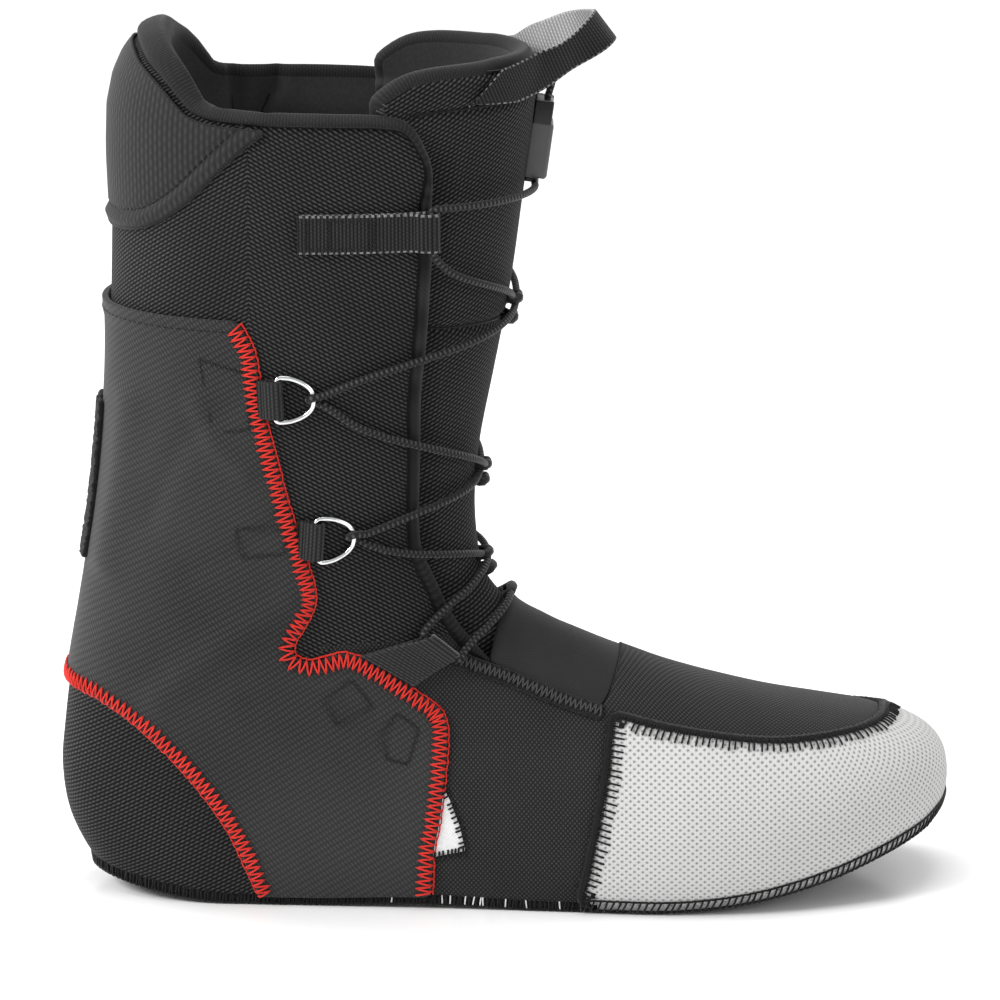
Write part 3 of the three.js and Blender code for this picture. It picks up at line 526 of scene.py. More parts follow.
def tubeMesh(runs, radius, sides=6, flat=1.0):
    # runs are lists of points; each becomes a closed round thread
    points, faces, uv, total = [], [], [], 0
    turn = np.linspace(0, 2 * math.pi, sides, endpoint=False)
    for run in runs:
        run = np.asarray(run, float)
        tangent = unit(np.gradient(run, axis=0))
        side = np.cross(tangent[0], np.eye(3)[np.abs(tangent[0]).argmin()])
        frames = []
        for t in tangent:
            side = unit(side - t * side.dot(t))
            frames.append((side, np.cross(t, side)))
        length = lengthAlong(run)
        # rounded ends
        ends = tangent[[0, -1]] * radius * 0.6
        run = np.concatenate([run[:1] - ends[:1], run, run[-1:] + ends[1:]])
        frames = [frames[0]] + frames + [frames[-1]]
        sizes = [radius * 0.55] + [radius] * (len(run) - 2) + [radius * 0.55]
        length = np.concatenate([[0], length, length[-1:]])
        for p, (u, v), size in zip(run, frames, sizes):
            points.append(p + np.outer(np.cos(turn), u) * size + np.outer(np.sin(turn), v) * size * flat)
        for l in length:
            uv.append(np.stack([np.full(sides, l), turn * radius], -1))
        count = len(run)
        for i in range(count - 1):
            base = total + i * sides
            for j in range(sides):
                k = (j + 1) % sides
                faces.append((base + j, base + k, base + sides + k, base + sides + j))
        faces.append(tuple(total + j for j in reversed(range(sides))))
        faces.append(tuple(total + (count - 1) * sides + j for j in range(sides)))
        total += count * sides
    return np.concatenate(points), faces, np.concatenate(uv)


def threads(name, runs, radius, sides=6, flat=1.0):
    return makeMesh(name, *tubeMesh(runs, radius, sides, flat))


print("stage: last and tools ready")


# Finishes. A Wire is one socket of a material, so that sums read as sums.


class Wire:
    def __init__(self, tree, socket):
        self.tree, self.socket = tree, socket

    def sum(self, operation, *others):
        node = self.tree.nodes.new("ShaderNodeMath")
        node.operation = operation
        for place, value in zip(node.inputs, others):
            if isinstance(value, Wire):
                self.tree.links.new(value.socket, place)
            else:
                place.default_value = value
        return Wire(self.tree, node.outputs[0])

    def wave(self):  # one swell for each unit
        return self.sum("SINE", self * (2 * math.pi)) * 0.5 + 0.5

    def whole(self):
        return self.sum("FLOOR", self)

    def size(self):
        return self.sum("ABSOLUTE", self)

    def over(self, other):
        return self.sum("GREATER_THAN", self, other)

    def most(self, other):
        return self.sum("MINIMUM", self, other)


def wireOperator(operation, swapped):
    def worked(self, other):
        return self.sum(operation, *((other, self) if swapped else (self, other)))
    return worked


operations = {"add": "ADD", "sub": "SUBTRACT", "mul": "MULTIPLY", "truediv": "DIVIDE", "pow": "POWER"}
for word, operation in operations.items():
    setattr(Wire, f"__{word}__", wireOperator(operation, False))
    setattr(Wire, f"__r{word}__", wireOperator(operation, True))


class Finish:
    def __init__(self, name, **plain):
        self.material = bpy.data.materials.new(name)
        self.material.use_nodes = True
        self.tree = self.material.node_tree
        self.shader = self.tree.nodes["Principled BSDF"]
        for key, value in plain.items():
            self.shader.inputs[key.replace("_", " ")].default_value = value

    def node(self, kind, settings=None, values=None, output=0):
        node = self.tree.nodes.new(kind)
        for key, value in (settings or {}).items():
            setattr(node, key, value)
        for key, value in (values or {}).items():
            if isinstance(value, Wire):
                self.tree.links.new(value.socket, node.inputs[key])
            else:
                node.inputs[key].default_value = value
        return Wire(self.tree, node.outputs[output])

    def flat(self):  # place in the cloth in millimetres, as two numbers
        uv = self.node("ShaderNodeUVMap", {"uv_map": "cloth"})
        split = self.node("ShaderNodeSeparateXYZ", None, {"Vector": uv})
        return split * 100, Wire(self.tree, split.socket.node.outputs[1]) * 100

    def place(self):
        return self.node("ShaderNodeTexCoord", None, None, "Object")

    def noise(self, scale, detail=2.0, rough=0.5, where=None):
        return self.node("ShaderNodeTexNoise", None, {
            "Vector": where or self.place(), "Scale": scale, "Detail": detail, "Roughness": rough}, "Fac")

    def blend(self, share, first, second):
        return self.node("ShaderNodeMix", {"data_type": "RGBA"}, {
            0: share, 6: first if isinstance(first, Wire) else (*first, 1),
            7: second if isinstance(second, Wire) else (*second, 1)}, 2)

    def put(self, name, wire):
        self.tree.links.new(wire.socket, self.shader.inputs[name])
        return self

    def relief(self, height, depth, strength=1.0):
        given = {"Height": height, "Distance": depth * 0.001, "Strength": strength}
        bump = self.node("ShaderNodeBump", None, given)
        return self.put("Normal", bump)


def cloth(name, dark, light, roughness, sheen):
    made = Finish(name, Roughness=roughness, Sheen_Weight=sheen, Sheen_Roughness=0.4, Specular_IOR_Level=0.12)
    made.dark, made.light = dark, light
    return made


def grey(value, warm=0.0):
    return (value * (1 + warm), value, value * (1 - warm))


def knitFinish(name, folded):  # rows of dashes; on the shaft they turn about one rib
    knit = {"pitch": 1.2, "dash": 2.1, "slant": 30, "foldAt": 2.0, "depth": 0.34}
    made = cloth(name, grey(0.001), grey(0.078), 0.88, 0.06)
    x, y = made.flat()
    side = (x - knit["foldAt"]).size() if folded else x * -1.0
    c, s = math.cos(math.radians(knit["slant"])), math.sin(math.radians(knit["slant"]))
    row = (y * c + side * s) / knit["pitch"]
    along = (side * c - y * s) / knit["dash"] + row.whole() * 0.5
    height = row.wave() ** 1.6 * (along.wave() ** 0.6 * 0.85 + 0.15)
    wear = made.noise(24, 3.0)
    made.put("Base Color", made.blend(height * (wear * 0.6 + 0.45), made.dark, made.light))
    return made.relief(height + made.noise(2200, 1.0) * 0.25, knit["depth"], 0.9).material


# Heights of plain weaves over their flat place in millimetres


def jersey(x, y):
    return (x / 1.05).wave() * ((y / 1.6 + (x / 1.05).whole() * 0.5).wave() * 0.5 + 0.5)


def rib(x, y):
    column = x / 1.9
    return column.wave() * ((y / 3.4 + column.whole() * 0.5).wave() * 0.6 + 0.4)


def twill(x, y):
    return ((x * 0.78 + y * 0.62) / 1.15).wave() * ((x * 0.5 - y * 0.86) / 1.9).wave() ** 0.5


def fineGrid(x, y):
    return (x / 0.8).wave() * (y / 0.8).wave()


def diamonds(x, y):
    return ((x + y * 0.9) / 1.5).wave() * ((x - y * 0.9) / 1.5).wave()


def braid(x, y):
    return (x / 1.7 + y / 3.9).wave() * (x / 1.7 - y / 3.9).wave()


def twist(x, y):
    return (x / 0.45 + y / 1.2).wave()


def wovenFinish(name, weave, dark, light, surface, tone, cloud, fuzz, relief):
    # surface: roughness and sheen; tone: share of the weave in the colour, and what is added to it
    # cloud: scale, detail and share of broad wear; fuzz: scale and share of fibre in the relief
    made = cloth(name, dark, light, *surface)
    height = weave(*made.flat())
    shade = height * tone[0] + tone[1]
    if cloud:
        shade = shade + made.noise(*cloud[:2]) * cloud[2]
    made.put("Base Color", made.blend(shade, made.dark, made.light))
    if fuzz:
        height = height + made.noise(fuzz[0], 1.0) * fuzz[1]
    return made.relief(height, *relief).material


def threadFinish(name, dark, light):
    return wovenFinish(name, twist, dark, light, (0.5, 0.12), (0.7, 0), (300, 1.0, 0.3), None, (0.08, 0.8))


def pileFinish(name, dark, light, surface, pile, cloud, relief):
    made = cloth(name, dark, light, *surface)
    height = made.noise(*pile)
    shade = height * cloud[0] + made.noise(35, 2.0) * cloud[1] if cloud else height
    made.put("Base Color", made.blend(shade, made.dark, made.light))
    return made.relief(height, *relief).material


def piqueFinish():
    made = cloth("toePique", grey(0.12, 0.003), grey(0.49, 0.006), 0.85, 0.06)
    x, y = made.flat()
    cell = {"wide": 2.7, "high": 2.3}
    across, up = x / cell["wide"], y / cell["high"]
    pits = (across + up).wave() ** 1.5 * (across - up).wave() ** 1.5
    height = 0.9 - pits * 0.9 + (x / 0.55).wave() * 0.18
    made.put("Base Color", made.blend(height.most(1.0), made.dark, made.light))
    return made.relief(height + made.noise(1600, 1.0) * 0.25, 0.35, 0.8).material


def webbingFinish(name, dark, light, edge):
    made = cloth(name, dark, light, 0.7, 0.09)
    x, y = made.flat()
    row = x / 1.15
    height = row.wave() * ((y / 1.3 + row.whole() * 0.5).wave() * 0.5 + 0.5)
    body = made.blend(height * 0.9, made.dark, made.light)
    # pale picks near both edges of the band
    picks = (x / 1.9 + made.noise(90, 1.0)).wave().over(0.5) * y.size().over(5.65)
    picks = picks * (made.noise(260, 2.0) * 1.2)
    made.put("Base Color", made.blend(picks, body, edge))
    return made.relief(height + made.noise(2000, 1.0) * 0.3, 0.22, 0.9).material


def chromeFinish():
    made = Finish("ringChrome", Metallic=1.0, Roughness=0.12)
    worn = made.noise(260, 3.0)
    made.put("Base Color", made.blend(worn, grey(0.5, -0.01), grey(0.78, -0.01)))
    return made.put("Roughness", worn * 0.14 + 0.07).relief(made.noise(500, 2.0), 0.02, 0.4).material


def plasticFinish(name, dark, light, roughness):
    made = Finish(name, Roughness=roughness, Specular_IOR_Level=0.3)
    grain = made.noise(1300, 2.0)
    made.put("Base Color", made.blend(made.noise(70, 2.0), dark, light))
    return made.put("Roughness", grain * 0.12 + roughness - 0.05).relief(grain, 0.05, 0.4).material


finishes = {
    "knit": knitFinish("ribbedKnit", True),
    "tongueKnit": knitFinish("tongueKnit", False),
    "collar": wovenFinish("collarJersey", jersey, grey(0.004), grey(0.022), (0.8, 0.09),
                          (0.6, 0), (60, 3.0, 0.4), (1500, 0.4), (0.12, 0.7)),
    "lining": pileFinish(
        "liningVelour", grey(0.012), grey(0.042), (0.9, 0.15), (900, 3.0), (0.6, 0.5), (0.2, 0.5)),
    "cuff": wovenFinish("cuffRib", rib, grey(0.011), grey(0.036), (0.85, 0.09),
                        (0.75, 0), (50, 3.0, 0.25), (1700, 0.3), (0.13, 0.7)),
    "twill": wovenFinish("harnessTwill", twill, grey(0.006), grey(0.05), (0.7, 0.105),
                         (0.6, -0.05), (14, 3.0, 0.55), (1800, 0.5), (0.12, 0.7)),
    "softshell": wovenFinish("softshell", fineGrid, grey(0.009), grey(0.03), (0.72, 0.09),
                             (0.3, 0), (40, 3.0, 0.6), (1800, 0.4), (0.06, 0.6)),
    "vamp": wovenFinish("vampKnit", diamonds, grey(0.004), grey(0.05), (0.85, 0.075),
                        (0.8, 0), (45, 3.0, 0.2), (1900, 0.3), (0.16, 0.8)),
    "pique": piqueFinish(),
    "webbing": webbingFinish("strapWebbing", grey(0.002), grey(0.034), grey(0.24)),
    "plainWebbing": webbingFinish("plainWebbing", grey(0.006), grey(0.04), grey(0.02)),
    "paleWebbing": webbingFinish("pullLining", grey(0.16), grey(0.42), grey(0.3)),
    "goreWebbing": webbingFinish("goreWebbing", grey(0.008), grey(0.05), grey(0.05)),
    "lace": wovenFinish("braidedLace", braid, grey(0.003), grey(0.06), (0.55, 0.09),
                        (1.0, 0.05), None, None, (0.25, 0.9)),
    "redThread": threadFinish("redThread", (0.38, 0.008, 0.006), (0.8, 0.045, 0.03)),
    "blackThread": threadFinish("blackThread", grey(0.001), grey(0.009)),
    "greyThread": threadFinish("greyThread", grey(0.02), grey(0.07)),
    "dimThread": threadFinish("dimThread", grey(0.008), grey(0.022)),
    "paleThread": threadFinish("paleThread", grey(0.06), grey(0.2)),
    "whiteThread": threadFinish("whiteThread", grey(0.45), grey(0.8)),
    "fuzz": pileFinish("hookTape", grey(0.004), grey(0.022), (0.95, 0.12), (1500, 4.0, 0.7), None, (0.9, 1.0)),
    "board": pileFinish("soleFelt", grey(0.006), grey(0.02), (0.92, 0.06), (700, 5.0, 0.65), None, (0.4, 0.7)),
    "chrome": chromeFinish(),
    "lockGrey": plasticFinish("lockGrey", grey(0.05), grey(0.085), 0.42),
    "lockBlack": plasticFinish("lockBlack", grey(0.002), grey(0.005), 0.3),
}
print("stage: finishes made")


def wear(obj, *names):
    for name in names:
        obj.data.materials.append(finishes[name])
    return obj


def settle(obj, slot, *nodes):
    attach(obj, "root")
    if nodes:
        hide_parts(*nodes)
    return obj


# Lines of the seams and edges, as [share of the length, level]
throatLine = [
    [0.409, 1.717], [0.4085, 1.64], [0.402, 1.484], [0.396, 1.388], [0.3955, 1.283],
    [0.3946, 1.152], [0.4, 1.095],
    [0.417, 1.035], [0.4313, 0.975], [0.4578, 0.87], [0.5, 0.793], [0.561, 0.705], [0.602, 0.665],
]
collarSeam = [
    [-0.03, 1.985], [0.05, 1.985], [0.075, 1.972], [0.095, 1.953], [0.115, 1.933], [0.13, 1.916],
    [0.145, 1.894],
    [0.16, 1.876], [0.187, 1.866], [0.235, 1.862], [0.3, 1.86], [0.365, 1.857], [0.393, 1.846], [0.409, 1.81],
    [0.4155, 1.782], [0.4135, 1.752],
]
# how far the padded edge stands past the seam, one number for each point of both lines
edgeWidths = [
    5, 5, 5.4, 6, 6.2, 5.6, 4.8, 4, 4, 4, 4, 3.8, 3.4, 3, 3, 4,
    5, 5.3, 5.4, 5.4, 5.4, 5.4, 5.4, 5.4, 5.4, 5.0, 0.8, 0.4, 0.4,
]
vampLine = [[0.602, 0.665], [0.616, 0.708], [0.632, 0.823], [0.645, 0.95]]
tongueTopLine = [[0.356, 1.901], [0.391, 1.935], [0.43, 1.948], [0.493, 1.951], [0.522, 1.953], [0.62, 1.95]]
tongueRearLine = [
    [0.356, 1.901], [0.364, 1.771], [0.361, 1.505], [0.344, 1.281], [0.34, 1.141], [0.357, 1.073],
    [0.391, 0.99], [0.425, 0.854], [0.486, 0.729], [0.554, 0.646],
]
panelRearLine = [[0.47, 0.66], [0.485, 0.844], [0.493, 0.927], [0.505, 1.016], [0.52, 1.1]]
capTopLine = [
    [0.619, 0.656], [0.667, 0.619], [0.718, 0.591], [0.806, 0.553], [0.888, 0.554],
    [0.932, 0.567], [0.96, 0.585],
]
capRearLine = [[0.583, -0.05], [0.583, 0.028], [0.597, 0.233], [0.611, 0.443], [0.619, 0.656]]
cuffLine = [
    [-0.03, 1.668], [0.044, 1.664], [0.071, 1.66], [0.111, 1.676], [0.151, 1.72], [0.185, 1.774],
    [0.219, 1.826],
    [0.24, 1.85],
]
harnessFrontLine = [
    [0.209, 1.531], [0.227, 1.477], [0.234, 1.391], [0.247, 1.304], [0.261, 1.216],
    [0.274, 1.145], [0.287, 1.076],
    [0.29, 1.041], [0.279, 0.994], [0.265, 0.924], [0.27, 0.878], [0.289, 0.865], [0.323, 0.888],
    [0.362, 0.828],
    [0.4, 0.741], [0.428, 0.675], [0.436, 0.592], [0.433, 0.453], [0.428, 0.312], [0.42, 0.171],
    [0.417, -0.1],
]
harnessHeelLine = [
    [0.235, -0.1], [0.229, 0], [0.211, 0.146], [0.189, 0.289], [0.161, 0.411], [0.128, 0.527], [0.088, 0.636],
    [0.048, 0.703], [0.016, 0.716], [-0.03, 0.722],
]


def cornerAt(share, level):
    return flatLine([[share, level]])


edgeLine = sideLine(collarSeam + throatLine)
edgeWidth = np.interp(np.linspace(0, len(edgeWidths) - 1, len(edgeLine)), range(len(edgeWidths)), edgeWidths)
edgeLength = lengthAlong(edgeLine)
openAhead = [cornerAt(1.1, 0.95), cornerAt(1.1, 2.2), cornerAt(-0.1, 2.2), cornerAt(-0.1, 1.985)]
openingShape = np.concatenate([edgeLine, sideLine(vampLine)[1:], *openAhead])
throatCurve = sideLine(collarSeam[-2:] + throatLine)


def aboveSole(station, angle, lift):
    point = lastPoint(station, angle)
    return point[..., 2] - groundAt(point[..., 0]) - lift


def edgeReach(station, angle):  # width of the padded edge at a point of the shell's outline
    distance, where = lineDistance(sideOf(station, angle), edgeLine)
    width = np.interp(where, edgeLength, edgeWidth)
    return np.where(distance < 1.2, width, 0.4)


def steady(value):  # the same lift or width all over a sheet
    return lambda s, a: np.full(len(s), value)


def laidPiece(name, sheet, outer, inner, reach, kinds, slot, *nodes, **rim):
    return settle(wear(padBody(name, sheet, outer, inner, reach, **rim), *kinds), slot, *nodes)


# Shell: knit outside, padded collar and flap edges, lining inside
shell = {
    "cell": 2.0, "around": 160, "seamDip": 1.5, "seamRun": 1.2, "puff": 0.9, "puffRun": 6.0,
    "grooveWide": 2.2, "grooveHigh": 3.2, "liningPuff": 1.3, "fineBelow": 88,
}
liningGrooves = [[[0.186, 1.9], [0.186, 1.3]], [[0.241, 1.9], [0.2375, 1.85], [0.222, 1.8], [0.2, 1.7]]]
grooveLines = [sideLine(line, 8) for line in liningGrooves]


def backLean(station, angle):  # the top of the back leans forwards
    level = shaftLevel(lastPoint(station, angle)[..., 2])
    lean = np.interp(level, [1.8, 1.862, 1.913, 1.948, 1.984, 2.03], [0, 0.3, 2.2, 4.6, 8.6, 12.5])
    return lean * np.maximum(0, np.cos(angle)) ** 1.5


def shellField(station, angle):
    closed = -insideBy(sideOf(station, angle), openingShape)
    return np.minimum(closed, aboveSole(station, angle, last["soleThick"]))


def shellOuter(station, angle):
    d = lineGap(station, angle, edgeLine)
    sunk = shell["seamDip"] * dipAt(d, shell["seamRun"]) + shell["puff"] * (np.exp(-d / shell["puffRun"]) - 0.5)
    return -sunk - backLean(station, angle)


def shellInner(station, angle):
    groove = sum(dipAt(lineGap(station, angle, line), shell["grooveWide"]) for line in grooveLines)
    level = shaftLevel(lastPoint(station, angle)[..., 2])
    puff = shell["liningPuff"] * np.sin(np.clip((level - 1.72) / 0.14, 0, 1) * math.pi) ** 2
    return -wallAt(station, angle) - puff + groove * shell["grooveHigh"] - backLean(station, angle) * 0.75


edgeProfile = [  # reach past the seam, height, dip: from the outside round to the lining
    (0.015, 1, 0.1), (0.05, 1, -0.8), (0.14, 0.99, -1.7), (0.3, 0.94, -2.2), (0.5, 0.83, -2.0),
    (0.7, 0.62, -1.4),
    (0.86, 0.36, -0.7), (0.96, 0.12, -0.2), (1.0, -0.12, 0), (0.93, -0.42, 0), (0.75, -0.72, 0),
    (0.5, -0.9, 0),
    (0.22, -0.98, 0),
]
angles = np.linspace(-math.pi, math.pi, shell["around"] + 1)
shellSheet = cutSheet(stationSteps(0.1, 24.9, shell["cell"]), angles, shellField, True)
upper = laidPiece("shell", shellSheet, shellOuter, shellInner, edgeReach, ("knit", "collar", "lining", "vamp"),
                  "knit", "upper", roll=edgeProfile)
print("stage: shell", len(upper.data.polygons))
# the forefoot is a finer knit than the shaft
split = sideLine([[0.3, 0.9], [0.36, 0.7], [0.395, 0.55], [0.395, -0.2]])[::-1]
reface(upper, 0, 3, lambda x, y, z: (x > np.interp(z, split[:, 1], split[:, 0])) & (z < shell["fineBelow"]))

# Tongue: a padded pad under the flaps, with a rolled top
tongue = {
    "thick": 8.5, "tipThick": 3, "sink": 4.35, "panelSink": 2.45, "swellRun": 9, "edge": 3.6, "cell": 1.3,
    "rollDip": 1.7, "seamDip": 1.4,
}
tongueRoll = sideLine([
    [0.33, 1.89], [0.369, 1.918], [0.387, 1.93], [0.417, 1.937], [0.451, 1.938], [0.483, 1.937],
    [0.512, 1.935],
    [0.6, 1.932],
])
tongueSeams = [
    sideLine([[0.401, 1.871], [0.429, 1.876], [0.453, 1.877], [0.501, 1.88], [0.56, 1.884]]),
    sideLine([[0.4, 1.502], [0.425, 1.5], [0.462, 1.497], [0.55, 1.488]]),
]
tongueAhead = [cornerAt(1.1, 1.95), cornerAt(1.1, 0.7), cornerAt(0.63, 0.66)]
tongueShape = np.concatenate([sideLine(tongueTopLine), *tongueAhead, sideLine(tongueRearLine)[::-1]])


def tongueDrop(station, angle):  # how deep its face lies: under the flaps, or swelling between them
    distance = lineGap(station, angle, throatCurve)
    signed = np.where(insideBy(sideOf(station, angle), openingShape) > 0, distance, -distance)
    opened = mix(tongue["sink"], tongue["panelSink"], ease((station - 4) / 3))
    return mix(wallAt(station, angle) + 0.35, opened, ease((signed - 2.75) / tongue["swellRun"]))


def aboveRoll(x, z):
    return z > np.interp(x, tongueRoll[:, 0], tongueRoll[:, 1])


def tongueOuter(station, angle):
    gap = lineGap(station, angle, tongueRoll)
    point = lastPoint(station, angle)
    above = aboveRoll(point[..., 0], point[..., 2])
    dips = tongue["rollDip"] * dipAt(gap, 1.5) - np.where(above, 1.0, 0.4) * ease(gap / 4)
    for seam in tongueSeams:
        dips = dips + tongue["seamDip"] * dipAt(lineGap(station, angle, seam), 1.6)
    return -tongueDrop(station, angle) - dips


def tongueInner(station, angle):
    soft = rowAt(station)[..., 10]
    return -tongueDrop(station, angle) - mix(tongue["tipThick"], tongue["thick"], ease(soft * 2 - 1))


def tongueField(station, angle):
    return insideBy(sideOf(station, angle), tongueShape) - tongue["edge"]


turns = np.linspace(math.pi - 2.3, math.pi + 2.3, 190)
sheet = cutSheet(stationSteps(0.35, 17.5, tongue["cell"]), turns, tongueField)
pad = laidPiece("tonguePad", sheet, tongueOuter, tongueInner, steady(tongue["edge"]),
                ("tongueKnit", "collar", "lining"), "tongue_cloth", "tongue", rimSteps=9)
reface(pad, 0, 1, lambda x, y, z: aboveRoll(x, z))
print("stage: tongue", len(pad.data.polygons))

# Instep panel, set in the throat ahead of the lacing
panel = {"lift": -0.2, "thick": 1.9, "cell": 1.8}
panelRear = sideLine(panelRearLine)
panelShape = np.concatenate([panelRear, cornerAt(1.1, 1.1), cornerAt(1.1, 0.5)])


def panelField(station, angle):
    p = sideOf(station, angle)
    return np.minimum(insideBy(p, openingShape) - 0.75, insideBy(p, panelShape) - 0.4)


def panelOuter(station, angle):
    d = lineGap(station, angle, panelRear)
    return panel["lift"] + 0.35 * dipAt(d - 2.5, 1.5) - 0.5 * dipAt(d, 0.8)


turns = np.linspace(math.pi - 1.7, math.pi + 1.7, 76)
sheet = cutSheet(stationSteps(7, 17.5, panel["cell"]), turns, panelField)
laidPiece("instepPanel", sheet, panelOuter, steady(panel["lift"] - panel["thick"]), steady(0.4),
          ("softshell", "softshell", "lining"), "softshell", "instep_panel")

# Toe cap of pale pique
cap = {"lift": 0.35, "thick": 0.9, "cell": 1.8, "farDrop": 3.0}
capRear, capTop = sideLine(capRearLine), sideLine(capTopLine)
capBorder = np.concatenate([capRear, capTop[1:]])
capShape = np.concatenate([capBorder, cornerAt(1.1, 0.585), cornerAt(1.1, -0.05)])


def capField(station, angle):
    p = sideOf(station, angle)
    # a little lower on the far side
    p[..., 1] += cap["farDrop"] * ease((math.pi - angle) / 0.6) * ease((angle - 1.2) / 0.6)
    return np.minimum(insideBy(p, capShape) - 0.3, aboveSole(station, angle, last["soleThick"] + 0.2))


def capOuter(station, angle):
    d = np.minimum(lineGap(station, angle, capRear), lineGap(station, angle, capTop))
    return cap["lift"] + cap["thick"] + 0.5 * (1 - np.exp(-d / 4)) - 0.3 * dipAt(d, 0.9)


sheet = cutSheet(stationSteps(13.5, 24.96, cap["cell"]), np.linspace(0.02, 2 * math.pi - 0.02, 150), capField)
toe = laidPiece("toeCap", sheet, capOuter, steady(cap["lift"]), steady(0.3), ("pique", "pique", "lining"),
                "pique", "toe_cap")

# Cuff panel at the back of the collar
cuff = {"lift": 0.35, "thick": 1.3, "cell": 1.26, "ridge": 1.1, "groove": 0.7, "puff": 0.8}
cuffLow = sideLine(cuffLine)
cuffShape = np.concatenate([cuffLow, movedLine(edgeLine[:55], -0.9)[::-1]])
cuffTurns = np.linspace(-1.9, 1.9, 130)


def cuffField(station, angle):
    return insideBy(sideOf(station, angle), cuffShape) - 0.5


def cuffOuter(station, angle):
    d, e = lineGap(station, angle, cuffLow), lineGap(station, angle, edgeLine)
    ridge = cuff["ridge"] * dipAt(d - 3.2, 1.6) - cuff["groove"] * dipAt(d - 6.0, 0.9)
    puff = cuff["puff"] * ease(d / 25) * ease(e / 12)
    lift = cuff["lift"] + cuff["thick"] - 0.9 * dipAt(e, 1.5)
    return lift + ridge * ease(e / 4) + puff - backLean(station, angle)


sheet = cutSheet(stationSteps(0.15, 3.5, cuff["cell"]), cuffTurns, cuffField)
back = laidPiece("cuffPanel", sheet, cuffOuter, lambda s, a: cuff["lift"] - backLean(s, a), steady(0.5),
                 ("cuff", "collar", "lining"), "cuff_cloth", "cuff_panel")

# Heel harness of twill, with soft folds
harness = {"lift": 0.35, "thick": 1.6, "cell": 1.7, "top": 1.531, "flare": 1.3, "hem": 0.35}
harnessFront, harnessHeel = sideLine(harnessFrontLine), sideLine(harnessHeelLine)
harnessBack = [cornerAt(-0.1, harness["top"]), cornerAt(-0.1, 0.722)]
harnessShape = np.concatenate([harnessBack[0], harnessFront, harnessHeel, harnessBack[1]])
harnessFolds = [  # line, height, half width
    ([[0.108, 1.171], [0.149, 1.317], [0.205, 1.384]], -1.1, 3.8),
    ([[0.061, 1.087], [0.079, 1.231], [0.092, 1.373]], 2.0, 5.0),
    ([[0.152, 1.091], [0.219, 1.139], [0.26, 1.195]], -1.0, 3.6),
    ([[0.117, 0.721], [0.196, 0.941], [0.263, 1.041]], 2.0, 5.5),
    ([[0.217, 0.729], [0.306, 0.724], [0.361, 0.579]], -1.1, 4.0),
    ([[0.166, 1.389], [0.182, 1.321], [0.215, 1.271]], 1.6, 3.6),
]
foldLines = [(sideLine(line), height, width) for line, height, width in harnessFolds]


def harnessField(station, angle):
    above = aboveSole(station, angle, last["soleThick"] + 0.2)
    return np.minimum(insideBy(sideOf(station, angle), harnessShape) - 0.6, above)


def belowTop(point):
    return float(levelZ(harness["top"])) - point[..., 2]


def flareAt(x, below, high, run):  # its top stands off at the back
    return high * np.exp(-np.maximum(below, 0) / run) * ease((0.17 - shareOf(x)) / 0.12)


def harnessOuter(station, angle):
    p = lastPoint(station, angle)
    below = belowTop(p)
    hem = harness["hem"] * ease(6 - below) * (below > -2) * (below < 8)
    folds = sum(height * dipAt(lineGap(station, angle, line), width) for line, height, width in foldLines)
    front = lineGap(station, angle, harnessFront)
    lift = harness["lift"] + harness["thick"] + flareAt(p[..., 0], below, harness["flare"], 10)
    return lift + hem + folds * ease(front / 8) * ease(below / 8) - 0.4 * dipAt(front, 1.2)


def harnessInner(station, angle):
    p = lastPoint(station, angle)
    return harness["lift"] + flareAt(p[..., 0], belowTop(p), 1.0, 8)


harnessSheet = cutSheet(stationSteps(2.6, 18.5, harness["cell"]), np.linspace(-2.35, 2.35, 170), harnessField)
wrap = laidPiece("heelHarness", harnessSheet, harnessOuter, harnessInner, steady(0.6),
                 ("twill", "twill", "lining"), "harness_cloth", "heel_harness")
print("stage: cap, cuff and harness", len(toe.data.polygons), len(back.data.polygons), len(wrap.data.polygons))


# Edges and stitching
dice = np.random.default_rng(11)


def edgeRuns(sheet, line, near=0.9, shortest=12):  # parts of a sheet's outline that lie along a line
    places, faces = sheet
    runs = []
    for loop in borderLoops(faces):
        ring = places[loop]
        on = lineGap(ring[:, 0], ring[:, 1], line) < near
        if on.all():
            starts = [0]
        else:
            first = int(np.flatnonzero(~on)[0])
            ring, on = np.roll(ring, -first, 0), np.roll(on, -first)
            starts = np.flatnonzero(on & ~np.roll(on, 1))
        for start in starts:
            stop = start
            while stop < len(on) and on[stop]:
                stop += 1
            if stop - start >= shortest:
                run = ring[start:stop].copy()
                run[:, 1] = np.unwrap(run[:, 1])
                runs.append(run[apart(lastPoint(*run.T), 0.05)])
    return runs


def smoothPath(run, step=1.0, rounds=2):
    for _ in range(rounds):
        run = run.copy()
        run[1:-1] = (run[:-2] + 2 * run[1:-1] + run[2:]) / 4
    return surfacePath(run, step)


def alongPath(path, distance, aside, lift):
    point, normal, out = pathAt(path, distance)
    return point + out * np.asarray(aside, float)[..., None] + normal * np.asarray(lift, float)[..., None]


def inwardOf(path, shape, share=0.5, reach=2.0):  # 1 where the path's sideways direction leads into the shape
    point, _, out = pathAt(path, path["length"] * share)
    return 1.0 if insideBy((point + out * reach)[[0, 2]][None], shape)[0] > 0 else -1.0


def liftAt(lift, reach):  # a lift is a number, or a function of the reach to the side
    return lift(reach) if callable(lift) else lift


